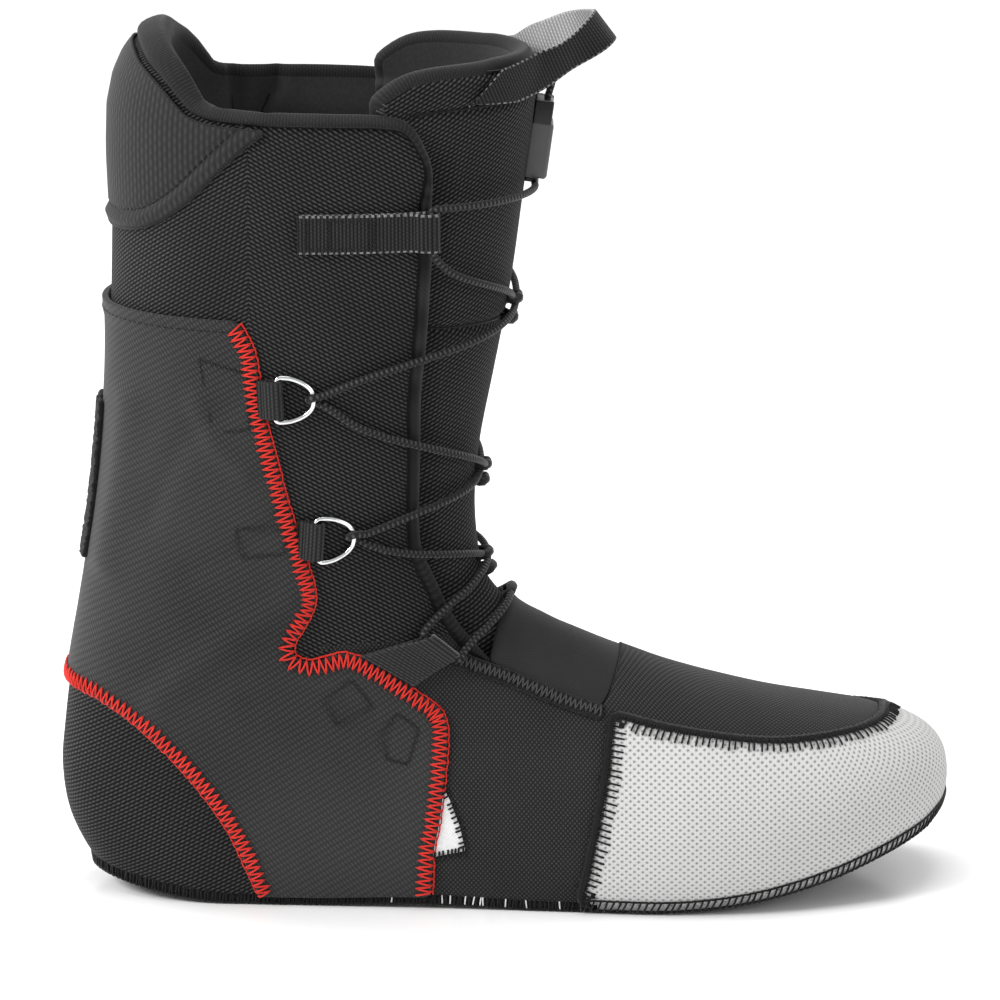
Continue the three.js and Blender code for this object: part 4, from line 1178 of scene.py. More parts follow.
def zigzag(path, left, right, pitch, lift, cuts=5, jitter=0.06):  # one thread that runs from side to side
    count = max(2, int(path["length"] / pitch * 2))
    spots = np.arange(count + 1)
    turns = (spots + dice.normal(0, jitter, count + 1)) * path["length"] / count
    reach = np.where(spots % 2 == 0, left, right) * (1 + dice.normal(0, jitter, count + 1))
    t = np.linspace(0, count, count * cuts + 1)
    d, u = np.interp(t, spots, turns), np.interp(t, spots, reach)
    return alongPath(path, d, u, liftAt(lift, u) + 0.22 * np.sin(np.pi * (t % 1)) ** 0.5)


def dashes(path, aside, long, gap, lift, bow):  # a row of straight stitches
    runs, d = [], 0.0
    t = np.linspace(0, 1, 5)
    while d + long < path["length"]:
        runs.append(alongPath(path, d + t * long, aside + dice.normal(0, 0.03), lift + bow * np.sin(np.pi * t)))
        d += long + gap
    return runs


def bars(path, inner, outer, pitch, lift, slant=0.0, jitter=0.08):  # stitches across an edge
    runs, d = [], 0.0
    t = np.linspace(0, 1, 6)
    while d < path["length"]:
        u = inner + (outer * (1 + dice.normal(0, jitter)) - inner) * t
        at = d + slant * t + dice.normal(0, jitter * pitch)
        runs.append(alongPath(path, at, u, liftAt(lift, u) + 0.2 * np.sin(np.pi * t)))
        d += pitch
    return runs


def dress(obj, finish, slot, *nodes):
    return settle(wear(obj, finish), slot, *nodes)


# Red zigzags over both edges of the harness, each with a thread along the edge
redStitch = {"pitch": 2.25, "inner": 4.2, "outer": 1.1, "thread": 0.42, "high": 2.35, "low": 0.5, "edge": 0.75}
redRuns = []
for line in (harnessFront, harnessHeel):
    for run in edgeRuns(harnessSheet, line, 1.0, 20):
        path = smoothPath(run, 0.8)
        inward = inwardOf(path, harnessShape)
        outer = -inward * redStitch["outer"]
        redLift = lambda u: np.interp(u * inward, [-1.6, 0.2], [redStitch["low"], redStitch["high"]])
        redRuns.append(zigzag(path, inward * redStitch["inner"], outer, redStitch["pitch"], redLift))
        d = np.arange(0, path["length"], 0.9)
        redRuns.append(alongPath(path, d, outer + dice.normal(0, 0.12, len(d)), redStitch["edge"]))
dress(threads("redStitches", redRuns, redStitch["thread"], 6, 0.8), "redThread", "harness_cloth")
print("stage: red stitches", len(redRuns), "runs")

# Hem of the harness
hem = {"below": 3.1, "lift": 2.3, "long": 1.5, "gap": 1.0, "thread": 0.19}
hemLine = sideLine([[-0.1, harness["top"]], [0.05, harness["top"]], [0.209, harness["top"]]])
hemRuns = []
for run in edgeRuns(harnessSheet, hemLine, 1.0, 20):
    path = smoothPath(run, 0.8)
    aside = inwardOf(path, harnessShape) * hem["below"]
    spots = np.linspace(0, path["length"], 200)
    lifts = hem["lift"] + flareAt(pathAt(path, spots)[0][:, 0], hem["below"], harness["flare"], 10)
    t = np.linspace(0, 1, 4)
    for d in np.arange(0, path["length"] - hem["long"], hem["long"] + hem["gap"]):
        at = d + t * hem["long"]
        hemRuns.append(alongPath(path, at, aside, np.interp(at, spots, lifts) + 0.12 * np.sin(np.pi * t)))
dress(threads("hemStitches", hemRuns, hem["thread"], 5), "blackThread", "harness_cloth")

# Boxes sewn through the harness, where the tabs are held beneath it
boxLines = [
    [[0.168, 1.462], [0.217, 1.442], [0.221, 1.345], [0.181, 1.335], [0.168, 1.462]],
    [[0.205, 1.17], [0.257, 1.172], [0.257, 1.126], [0.208, 1.119], [0.205, 1.17]],
    [[0.3, 0.724], [0.328, 0.798], [0.352, 0.697], [0.312, 0.639], [0.3, 0.724]],
    [[0.361, 0.596], [0.379, 0.673], [0.403, 0.616], [0.392, 0.496], [0.368, 0.517], [0.361, 0.596]],
]
boxRuns = []
for side in (-1, 1):
    for line in boxLines:
        boxRuns.append(zigzag(linePath(flatLine(line), side, 0.6), 0.6, -0.6, 1.7, 2.0, 3))
dress(threads("boxStitches", boxRuns, 0.15, 5), "dimThread", "harness_cloth")

# Hook tape at the back of the harness
tape = {"half": 10.0, "levels": [1.078, 1.349], "lift": 2.3, "thick": 1.7, "cell": 0.72, "fuzz": 0.5}


def tapeField(station, angle):
    p = lastPoint(station, angle)
    low, high = levelZ(tape["levels"])
    return np.minimum(tape["half"] - np.abs(p[..., 1]), np.minimum(p[..., 2] - low, high - p[..., 2]))


def tapeOuter(station, angle):  # a fixed scatter stands for the hooks
    p = lastPoint(station, angle)
    grain = np.sin(p[..., 2] * 12.9898 + p[..., 1] * 78.233) * 43758.5
    return tape["lift"] + tape["thick"] + tape["fuzz"] * (2 * (grain - np.floor(grain)) - 1)


def tapeEdge(station, angle):
    return 0.35 + 0.3 * np.sin(station * 97 + angle * 41)


tapeSheet = cutSheet(stationSteps(3.2, 6.4, tape["cell"]), np.linspace(-0.42, 0.42, 44), tapeField)
laidPiece("hookTape", tapeSheet, tapeOuter, steady(tape["lift"]), tapeEdge, ("fuzz", "fuzz", "fuzz"),
          "webbing", "heel_tab", rimSteps=4)

# Sunk seam behind the padded edge
seamRuns = []
for run in edgeRuns(shellSheet, edgeLine, 1.0, 20):
    path = smoothPath(run, 1.0, 1)
    lift = shellOuter(path["s"], path["a"]) + 0.05
    seamRuns.append(path["point"] + path["normal"] * lift[:, None])
dress(threads("seamCord", seamRuns, 0.42, 6), "blackThread", "knit")

# Cuff panel: raised seam along its lower edge
cuffSheet = cutSheet(stationSteps(0.15, 3.5, 1.3), cuffTurns, cuffField)
cuffEdges, cuffStitches = [], []
for run in edgeRuns(cuffSheet, movedLine(cuffLow, 0.5), 1.2, 20):
    path = smoothPath(run, 1.0)
    inward = 1.0 if pathAt(path, path["length"] / 2)[2][2] > 0 else -1.0
    d = np.linspace(0, path["length"], int(path["length"] / 1.2))
    cuffEdges.append(alongPath(path, d, inward * 0.2, 0.9))
    cuffStitches += dashes(path, inward * 5.9, 1.6, 1.0, 1.35, 0.1)
dress(threads("cuffPiping", cuffEdges, 1.05, 10, 0.9), "collar", "cuff_cloth")
dress(threads("cuffStitches", cuffStitches, 0.17, 5), "blackThread", "cuff_cloth")

# Toe cap: black ridge along its edges with blanket stitches reaching into the cloth
ridge = {"radius": 1.5, "lift": 1.0, "reach": 4.6, "pitch": 2.1, "thread": 0.34}
toeFront = {"x": 185, "y": 4.5, "radius": 43}


def toePlace(points):  # flat place of the cap's cloth, taken round the front of the toe
    x, y, z = points[:, 0] - toeFront["x"], points[:, 1] - toeFront["y"], points[:, 2]
    turn = np.arctan2(y, np.maximum(x, 1e-6)) + math.pi / 2
    beside = np.where(y < 0, x, toeFront["radius"] * math.pi - x)
    return np.stack([np.where(x > 0, toeFront["radius"] * turn, beside), z * 1.06], -1)


layCloth(toe.data, toePlace(meshPoints(toe.data) * 1000))
capSheet = cutSheet(stationSteps(13.5, 24.96, 1.4), np.linspace(0.02, 2 * math.pi - 0.02, 170), capField)
ridgeRuns, blanket = [], []
for run in edgeRuns(capSheet, capBorder, 4.2, 20):
    path = smoothPath(run, 1.0)
    inward = inwardOf(path, capShape, 0.12)
    d = np.linspace(0, path["length"], int(path["length"] / 0.9))
    wobble = 0.16 * np.sin(d * 2.9) + 0.1 * np.sin(d * 7.1)
    ridgeRuns.append(alongPath(path, d, -inward * (0.5 + wobble), ridge["lift"] + wobble * 0.6))
    onCloth = lambda u: 1.5 + 0.25 * (np.abs(u) > 1)
    blanket += bars(path, 0, inward * ridge["reach"], ridge["pitch"], onCloth, 0.5)
    overRidge = lambda u: np.where(u * inward > -0.6, 1.8, 0.8)
    blanket += bars(path, inward * 1.2, -inward * 1.9, 0.9, overRidge, 0.7, 0.15)
dress(threads("capRidge", ridgeRuns, ridge["radius"], 10, 0.85), "blackThread", "pique")
dress(threads("capStitches", blanket, ridge["thread"], 5), "blackThread", "pique")

# White window ahead of the harness, on both sides
windowShape = flatLine([
    [0.428, 0.433], [0.438, 0.377], [0.449, 0.291], [0.455, 0.209], [0.417, 0.185],
    [0.419, 0.275], [0.4285, 0.4],
])
sideNames = {-1: "Lateral", 1: "Medial"}
windowRuns = []
for side, name in sideNames.items():
    windowField = lambda s, a: insideBy(sideOf(s, a), windowShape)
    sheet = cutSheet(stationSteps(11, 16.5, 0.9), np.sort(np.linspace(0.25, 1.9, 90) * side), windowField)
    laidPiece("window" + name, sheet, steady(1.0), steady(0.1), steady(0.3), ["whiteThread"] * 3,
              "pique", rimSteps=4)
    path = linePath(windowShape[:4], side, 0.5)
    inward = inwardOf(path, windowShape, 0.5, 1.0)
    windowLift = lambda u: np.where(u * inward > 0, 1.25, 0.8)
    windowRuns += bars(path, -inward * 1.4, inward * 1.1, 1.7, windowLift, 0.3, 0.15)
    windowRuns += bars(linePath(windowShape[3:5], side, 0.5), -1.1, 1.1, 1.3, 1.2, 0.4, 0.2)
dress(threads("windowStitches", windowRuns, 0.36, 5), "blackThread", "pique")

# Tape along the lower edge of the throat
lowTapeTop = sideLine([[0.441, 0.871], [0.5, 0.797], [0.561, 0.722], [0.609, 0.679]])
lowTapeLow = sideLine([[0.436, 0.826], [0.5, 0.749], [0.556, 0.684], [0.606, 0.638]])
lowTapeShape = np.concatenate([lowTapeTop, lowTapeLow[::-1]])
tapeRuns = []
for side, name in sideNames.items():
    lowTapeField = lambda s, a: insideBy(sideOf(s, a), lowTapeShape)
    lowTapeLift = lambda s, a: 0.85 + 0.12 * np.sin(clothPlace(s, a).sum(-1) * 4.0)
    sheet = cutSheet(stationSteps(8, 18, 0.9), np.sort(np.linspace(0.9, 3.0, 110) * side), lowTapeField)
    laidPiece("throatTape" + name, sheet, lowTapeLift, steady(-0.2), steady(0.3), ["fuzz"] * 3,
              "webbing", rimSteps=4)
    path = linePath((lowTapeTop + lowTapeLow) / 2, side, 0.6)
    tapeRuns.append(zigzag(path, 1.9, -1.9, 1.7, 1.0, 4, 0.12))
dress(threads("tapeStitches", tapeRuns, 0.3, 5), "greyThread", "webbing")
print("stage: edges and tapes")

# Sole: a thin board round the foot, pale along the toe's side
sole = {"rows": 240, "thick": 3.4, "rim": 0.9}


def footLoop(height, inset, rows):
    xs = alongX(np.linspace(0.004, 0.9965, 500))
    z = groundAt(xs) + height
    halves = []
    for side in (-1, 1):
        s, a = placeOf(xs, z, side)
        p = lastPoint(s, a)
        off = np.abs(p[:, 0] - xs) + np.abs(p[:, 2] - z)
        halves.append((p[:, 1], off))
    good = (halves[0][1] < 0.5) & (halves[1][1] < 0.5)
    xs, lateral, medial = xs[good], halves[0][0][good], halves[1][0][good]
    turn = np.linspace(0, math.pi, rows)
    middle, half = (xs[0] + xs[-1]) / 2, (xs[-1] - xs[0]) / 2
    at = middle - half * np.cos(turn)
    reach = half + inset
    out = middle - reach * np.cos(turn)
    edge = np.sqrt(np.clip(1 - ((out - middle) / reach) ** 2, 0, 1))
    lat, med = np.interp(at, xs, lateral), np.interp(at, xs, medial)
    centre = (lat + med) / 2
    ends = ease(np.minimum(turn, math.pi - turn) / 0.12)
    wide = np.maximum(((med - lat) / 2 + inset) * ends, 0.3)
    return out, centre - wide, centre + wide


def footBody(name, bottom, top, inset, rows, across=15):
    x, lateral, medial = footLoop((bottom + top) / 2, inset, rows)
    z = groundAt(np.clip(x, -62, 231))
    points, uv, faces, kinds = [], [], [], []
    share = np.linspace(0, 1, across)
    rise = [0.12, 0.4, 0.75, 0.93]
    push = [0.55, 1.0, 1.0, 0.6]
    for k in range(rows):
        mid, half = (lateral[k] + medial[k]) / 2, (medial[k] - lateral[k]) / 2
        soft = min(0.9, half * 0.6)
        loop = [(mid - (half - soft) * math.cos(math.pi * t), bottom) for t in share]
        loop += [(mid + half - soft + soft * p, bottom + (top - bottom) * r) for r, p in zip(rise, push)]
        loop += [(mid + (half - soft) * math.cos(math.pi * t), top) for t in share]
        loop += [(mid - half + soft - soft * p, bottom + (top - bottom) * r)
                 for r, p in zip(rise[::-1], push[::-1])]
        for y, h in loop:
            points.append((x[k], y, z[k] + h))
            uv.append((x[k], y + h))
    size = len(loop)
    for k in range(rows - 1):
        for j in range(size):
            n = (j + 1) % size
            faces.append((k * size + j, k * size + n, (k + 1) * size + n, (k + 1) * size + j))
            wall = across <= j < across + 3 or j >= size - 4 and j < size - 1
            kinds.append(1 if wall else 0)
    faces.append(tuple(reversed(range(size))))
    faces.append(tuple((rows - 1) * size + j for j in range(size)))
    kinds += [0, 0]
    return makeMesh(name, points, faces, uv, kinds)


def outward(obj):  # every face turned to point out of its body
    bpy.ops.object.select_all(action="DESELECT")
    obj.select_set(True)
    bpy.context.view_layer.objects.active = obj
    bpy.ops.object.mode_set(mode="EDIT")
    bpy.ops.mesh.select_all(action="SELECT")
    bpy.ops.mesh.normals_make_consistent(inside=False)
    bpy.ops.object.mode_set(mode="OBJECT")
    obj.select_set(False)
    return obj


board = footBody("soleBoard", 0.0, sole["thick"], sole["rim"], sole["rows"])
wear(board, "board", "board", "whiteThread")
reface(board, 1, 2, lambda x, y, z: x > float(alongX(0.6)))
settle(board, "sole_board", "sole")

# Stitches round the sole's edge
rimStitch = {"pitch": 2.2, "thread": 0.36}
x, lateral, medial = footLoop(sole["thick"] / 2, sole["rim"], 600)
loop = np.concatenate([np.stack([x, lateral], -1), np.stack([x, medial], -1)[::-1][1:-1]])
loop = np.concatenate([loop, loop[:1]])
loop = loop[apart(loop, 1e-4)]
length = lengthAlong(loop)


def alongLoop(d):
    d = np.asarray(d, float) % length[-1]
    return np.stack([np.interp(d, length, loop[:, k]) for k in range(2)], -1)


def rimPoint(d, height, out):
    at = alongLoop(d)
    run = unit(alongLoop(d + 1.5) - alongLoop(d - 1.5))
    flat = at + np.stack([run[..., 1], -run[..., 0]], -1) * np.asarray(out, float)[..., None]
    return np.concatenate([flat, (groundAt(at[..., 0]) + height)[..., None]], -1)


blackRim, whiteRim = [], []
t = np.linspace(0, 1, 7)
heights = np.interp(t, [0, 0.2, 0.8, 1], [-0.1, 0.4, 3.6, 4.6])
outs = np.interp(t, [0, 0.2, 0.7, 1], [-1.0, 0.35, 0.45, -0.55])
for d in np.arange(0, length[-1], rimStitch["pitch"] * 0.55):
    here = rimPoint(d, 0, 0)
    if here[0] > float(alongX(0.578)):
        continue
    lean = dice.normal(0.4, 0.5)
    flecked = 0.34 if float(alongX(0.42)) < here[0] else 0.02
    chosen = blackRim if dice.random() > flecked else whiteRim
    chosen.append(rimPoint(d + lean * t, heights + dice.normal(0, 0.12), outs))
span = np.arange(0, length[-1], 0.8)
blackRim.append(rimPoint(span, 0.25 + 0.15 * np.sin(span * 3.1), 0.25 + 0.1 * np.sin(span * 5.3)))
# the toe's edge is bound: two lines with slanted stitches between them
binding = {"high": 5.2, "wide": 4.1, "lift": 2.15, "slant": -1.5}
ahead = alongX(np.linspace(0.585, 0.95, 50))
sides = [np.stack(placeOf(ahead, groundAt(ahead) + binding["high"], side), -1) for side in (-1, 1)]
tip, ends = np.linspace(20, 24.98, 400), [sides[0][-1, 1], sides[1][-1, 1]]
front = []
for turn in np.linspace(ends[0], ends[1], 61)[1:-1]:  # round the front, at the same height above the ground
    p = lastPoint(tip, np.full(400, turn))
    above = p[:, 2] - groundAt(p[:, 0]) - binding["high"]
    k = max(1, int(np.argmax(above > 0)))
    front.append([np.interp(0, above[k - 1:k + 1], tip[k - 1:k + 1]), turn])
bind = smoothPath(np.concatenate([sides[0], front, sides[1][::-1]]), 0.7)
down = 1.0 if pathAt(bind, bind["length"] / 4)[2][2] < 0 else -1.0
span = np.arange(0, bind["length"], 0.8)
blackRim.append(alongPath(bind, span, 0.12 * np.sin(span * 3.3), binding["lift"] + 0.1 * np.sin(span * 5.1)))
lowerAside = down * binding["wide"] + 0.1 * np.sin(span * 4.1)
blackRim.append(alongPath(bind, span, lowerAside, 1.75 + 0.1 * np.sin(span * 5.1)))
bindLift = lambda u: 2.3 - 0.09 * np.abs(u)
blackRim += bars(bind, down * 0.1, down * 4.0, rimStitch["pitch"], bindLift, binding["slant"], 0.05)
dress(threads("rimStitches", blackRim, rimStitch["thread"], 5), "blackThread", "sole_board")
dress(threads("rimFlecks", whiteRim, 0.26, 5), "whiteThread", "sole_board")

# Insole on the board
inner = {"low": 3.75, "high": 8.75, "inset": -4.4}
footbed = footBody("footbed", inner["low"], inner["high"], inner["inset"], 160)
wear(footbed, "lining", "lining")
settle(footbed, "insole_foam", "insole")
print("stage: sole and insole")

# Webbing: flat ribbons along a line of (ahead, lift), laid on the boot by a placing function
web = {"half": 6.35, "thick": 1.1, "gap": 0.35}


def ribbon(name, line, place, half=web["half"], thick=web["thick"]):
    line = np.asarray(line, float)
    fine = [line[0]]
    for a, b in zip(line, line[1:]):
        fine += [a + (b - a) * t for t in np.linspace(0, 1, max(2, int(np.linalg.norm(b - a) / 0.7) + 1))[1:]]
    line = np.array(fine)
    run = unit(np.gradient(line, axis=0))
    side = np.stack([-run[:, 1], run[:, 0]], -1)
    across = np.concatenate([[-1, -0.985, -0.95, -0.88], np.linspace(-0.75, 0.75, 9), [0.88, 0.95, 0.985, 1]])
    shape = np.interp(np.abs(across), [0.88, 0.95, 0.985, 1], [1, 0.92, 0.7, 0.3]) * thick / 2
    length = lengthAlong(line)
    rows, columns = len(line), len(across)
    points, uv = [], []
    for way in (1, -1):
        at = line[:, None] + side[:, None] * shape[None, :, None] * way
        v = np.broadcast_to(across * half, (rows, columns))
        points.append(place(at[..., 0].ravel(), v.ravel(), at[..., 1].ravel()))
        uv.append(np.stack([np.broadcast_to(length[:, None], (rows, columns)).ravel(), v.ravel()], -1))
    faces, kinds, total = [], [], rows * columns
    for i in range(rows - 1):
        for j in range(columns - 1):
            q = (i * columns + j, (i + 1) * columns + j, (i + 1) * columns + j + 1, i * columns + j + 1)
            faces += [q, tuple(v + total for v in reversed(q))]
            kinds += [0, 1]
    rim = [i * columns for i in range(rows)] + [(rows - 1) * columns + j for j in range(1, columns)]
    rim += [i * columns + columns - 1 for i in reversed(range(rows - 1))]
    rim += list(reversed(range(1, columns - 1)))
    for v, w in zip(rim, rim[1:] + rim[:1]):
        faces.append((v, v + total, w + total, w))
        kinds.append(0)
    return outward(makeMesh(name, np.concatenate(points), faces, np.concatenate(uv), kinds))


def webPlace(anchor, turn, side):  # laid on the boot from a point of the side view
    origin = onto(anchor)
    c, s = math.cos(math.radians(turn)), math.sin(math.radians(turn))

    def place(ahead, across, lift):
        station, angle = placeOf(origin[0] + ahead * c - across * s, origin[1] + ahead * s + across * c, side)
        return onLast(station, angle, lift)
    return place


def foldLine(back, bore, lowEnd, topEnd):  # out along the surface, round a bore and back on top
    axis = web["gap"] + bore + web["thick"]
    radius = bore + web["thick"] / 2
    low, top = web["gap"] + web["thick"] / 2, web["gap"] + web["thick"] * 1.5 + 0.15
    turns = np.linspace(-math.pi / 2 + 0.25, math.pi / 2 + 0.5, 14)
    line = [[-back, lowEnd if lowEnd is not None else low], [-back * 0.5, low], [-0.6, low]]
    line += [[radius * math.cos(t), axis + radius * math.sin(t)] for t in turns]
    line += [[-radius * 1.5, axis + radius * 0.55], [-radius * 2.3, (axis + top) / 2 + 0.1]]
    line += [[-radius * 3.3, top + 0.15]]
    line += [[-radius * 4.2, top], [-topEnd, top]] if topEnd > radius * 4.4 else []
    return line


strapEnd, strapRear = [0.416, 1.682], 0.277
ringPlaces = {"upper": ([0.25, 1.398], 2), "lower": ([0.292, 1.148], -4)}
goreFront, goreRear = [[0.407, 0.925], [0.44, 0.84]], [[0.335, 0.875], [0.395, 0.755]]
lace = {"radius": 1.2, "bore": 1.6}
rollAxis = lambda bore: web["gap"] + bore + web["thick"]


def gorePlace(side):
    rear, front = flatLine(goreRear), flatLine(goreFront)
    reach = np.linalg.norm((front - rear).sum(0) / 2)

    def place(ahead, across, lift):
        t = (1 + ahead / reach)[:, None]
        u = (0.5 - across / (2 * web["half"]))[:, None]
        p = mix(mix(rear[0], rear[1], u), mix(front[0], front[1], u), t)
        station, angle = placeOf(p[:, 0], p[:, 1], side)
        return onLast(station, angle, lift)
    return place, reach


tackRuns, foldRuns = [], []
sideWords = {-1: "lateral", 1: "medial"}
swing = np.where(np.arange(15) % 2 == 0, 0.45, -0.45)
for side, name in sideWords.items():
    back = float(alongX(strapEnd[0]) - alongX(strapRear))
    strapPlace = webPlace(strapEnd, 0, side)
    strap = ribbon("strap_" + name, foldLine(back, lace["bore"], None, back + 0.6), strapPlace)
    dress(strap, "webbing", "webbing", "lace_strap_" + name)
    for ahead in (-19.2, -17.4, -38.6, -31.5):  # tacks across the strap
        tackRuns.append(strapPlace(ahead + swing, np.linspace(-4.9, 4.9, 15), np.full(15, 2.75)))
    for across in (-4.7, 4.7):
        for ahead in np.arange(-38.5, -18, 2.6):
            arch = 2.62 + 0.2 * np.sin(np.linspace(0, math.pi, 5))
            tackRuns.append(strapPlace(ahead + np.linspace(0, 1.7, 5), np.full(5, across), arch))
    for where, (bar, turn) in ringPlaces.items():
        tab = ribbon(f"tab_{where}_{name}", foldLine(6.6, 1.2, 0.75, 6.2), webPlace(bar, turn, side))
        dress(tab, "plainWebbing", "webbing", f"ring_tab_{where}_{name}")
    place, reach = gorePlace(side)
    gore = ribbon("gore_" + name, foldLine(reach, lace["bore"], None, reach - 1.0), place)
    dress(gore, "goreWebbing", "webbing", "lower_loop_" + name)
    foldRuns.append(place(np.full(9, 2.0), np.linspace(-6.0, 6.0, 9), np.full(9, 3.6)))
dress(threads("goreFolds", foldRuns, 0.85, 8), "paleThread", "webbing")
dress(threads("tacks", tackRuns, 0.24, 5), "blackThread", "webbing")


def frameAt(anchor, side, lift, turn=0.0):  # forwards, upwards and outwards at a point of the side view
    station, angle = placeOf(alongX(anchor[0]), levelZ(anchor[1]), side)
    at, normal = onLast(station, angle, lift), lastNormal(station, angle)
    up = np.array([0, 0, 1.0]) - normal * normal[2]
    up /= np.linalg.norm(up)
    ahead = np.cross(up, normal)
    ahead = ahead if ahead[0] > 0 else -ahead
    c, s = math.cos(math.radians(turn)), math.sin(math.radians(turn))
    return at, ahead * c - up * s, up * c + ahead * s, normal


# D-rings: one bent from a circle in edit mode, then copied to its four places; the bow leans on the boot
ring = {"wire": 1.7, "depth": 12.2, "half": 6.35 + 0.85 + 0.35, "bore": 1.2, "lean": 0.1}


def takenApart(obj):  # points and faces of a scratch object, which is removed
    points = meshPoints(obj.data)
    faces = [tuple(p.vertices) for p in obj.data.polygons]
    bpy.data.objects.remove(obj)
    return points, faces


def ringMesh():
    bpy.ops.object.select_all(action="DESELECT")
    bpy.ops.curve.primitive_bezier_circle_add(radius=1)
    curve = bpy.context.object
    curve.data.resolution_u, curve.data.bevel_resolution = 14, 5
    curve.data.bevel_depth = ring["wire"] / 2
    bpy.ops.object.mode_set(mode="EDIT")
    bpy.ops.curve.select_all(action="SELECT")
    bpy.ops.curve.subdivide(number_cuts=1)
    bpy.ops.curve.handle_type_set(type="FREE_ALIGN")
    half, deep = ring["half"], ring["depth"]
    spots = [  # place, handle before, handle after
        ((0, -half + 1.6), (0, -half + 4), (0, -half + 0.9)),
        ((1.3, -half + 0.1), (0.45, -half + 0.25), (2.4, -half)),
        ((deep * 0.62, -half * 0.82), (deep * 0.38, -half), (deep * 0.86, -half * 0.64)),
        ((deep, 0), (deep, -half * 0.42), (deep, half * 0.42)),
        ((deep * 0.62, half * 0.82), (deep * 0.86, half * 0.64), (deep * 0.38, half)),
        ((1.3, half - 0.1), (2.4, half), (0.45, half - 0.25)),
        ((0, half - 1.6), (0, half - 0.9), (0, half - 4)),
        ((0, 0), (0, 2.5), (0, -2.5)),
    ]
    for point, (spot, before, after) in zip(curve.data.splines[0].bezier_points, spots):
        point.handle_left_type = point.handle_right_type = "FREE"
        point.co, point.handle_left, point.handle_right = (*spot, 0), (*before, 0), (*after, 0)
    bpy.ops.object.mode_set(mode="OBJECT")
    bpy.ops.object.convert(target="MESH")
    return takenApart(bpy.context.object)


ringPoints, ringFaces = ringMesh()
ringFrames = {}
c, s = math.cos(ring["lean"]), math.sin(ring["lean"])
for side, name in sideWords.items():
    for where, (bar, turn) in ringPlaces.items():
        at, ahead, up, normal = frameAt(bar, side, rollAxis(ring["bore"]), turn)
        ahead, normal = ahead * c - normal * s, normal * c + ahead * s
        ringFrames[where, name] = (at, ahead, up, normal)
        points = at + ringPoints[:, :1] * ahead + ringPoints[:, 1:2] * up + ringPoints[:, 2:] * normal
        made = outward(makeMesh(f"ring_{where}_{name}", points, ringFaces))
        dress(made, "chrome", "ring_steel", f"d_ring_{where}_{name}")
print("stage: webbing and rings")


# Lace: one cord from the lock, down through straps, rings and loops, and back up


def frontSpot(level, lift):
    z = float(levelZ(level))
    low, top = 0.0, float(lastRow - 1)
    for _ in range(40):
        middle = (low + top) / 2
        low, top = (middle, top) if rowAt(middle)[1] > z else (low, middle)
    return np.array([(low + top) / 2, math.pi, lift])


def sideSpot(point, side, lift):
    station, angle = placeOf(point[0], point[1], side)
    return np.array([float(station), float(angle) % (2 * math.pi), lift])


def laceOnTongue(level):
    s = frontSpot(level, 0)[0]
    return lace["radius"] + 0.5 - float(tongueDrop(np.array([s]), np.array([math.pi]))[0])


overFlap = lace["radius"] + 1.1
crossLevels = {"high": 1.518, "middle": 1.228, "low": 1.072}
barLevel, lockLevel, tetherLevel = 1.01, 1.797, 1.93


def run3d(spots):  # points of the boot along a smooth line of places
    return onLast(*smoothRun(spots, 14).T)


def half(end, endLift, middle, side):  # from a fixed end half way to the middle
    front = lastPoint(middle[0], math.pi)
    toward = np.array([mix(end[0], front[0], 0.42), mix(end[1], front[2], 0.42)])
    return [sideSpot(end, side, endLift), sideSpot(toward, side, overFlap)]


def ringEnd(where, rise):
    bar, _ = ringPlaces[where]
    return onto(bar) + np.array([ring["depth"] + 2.6, rise])


goreAxis = unit(onto(goreFront[1]) - onto(goreFront[0])) * 1.6
goreUpper, goreLower = onto(goreFront[0]) - goreAxis, onto(goreFront[1]) + goreAxis
strapTop, strapLow = onto(strapEnd) + np.array([0, 7.6]), onto(strapEnd) - np.array([0, 7.6])
loopAxis, ringAxis = rollAxis(lace["bore"]), rollAxis(ring["bore"])


def crossRun(level, upper, upperLift, lower, lowerLift, side, over):  # from one side down to the other
    middle = frontSpot(level, laceOnTongue(level) + over)
    return run3d([*half(upper, upperLift, middle, side), middle, *half(lower, lowerLift, middle, -side)[::-1]])


def roundRing(where, name):  # in through the ring from above and out again below
    at, ahead, up, normal = ringFrames[where, name]
    turn = [  # ahead, up and out from the bow
        (1.6, 1.5, 1.6), (-0.6, 1.1, 1.9), (-2.1, 0.5, 0.9), (-2.3, 0, -0.4), (-1.4, -0.6, -1.2),
        (0.6, -1.1, -1.5),
        (2.2, -1.5, -0.8),
    ]
    return np.array([at + ahead * (ring["depth"] + a) + up * u + normal * n for a, u, n in turn])


def throughFold(place, reach):  # down through the bore of a folded webbing
    return place(np.zeros(6), np.linspace(reach, -reach, 6), np.full(6, loopAxis))


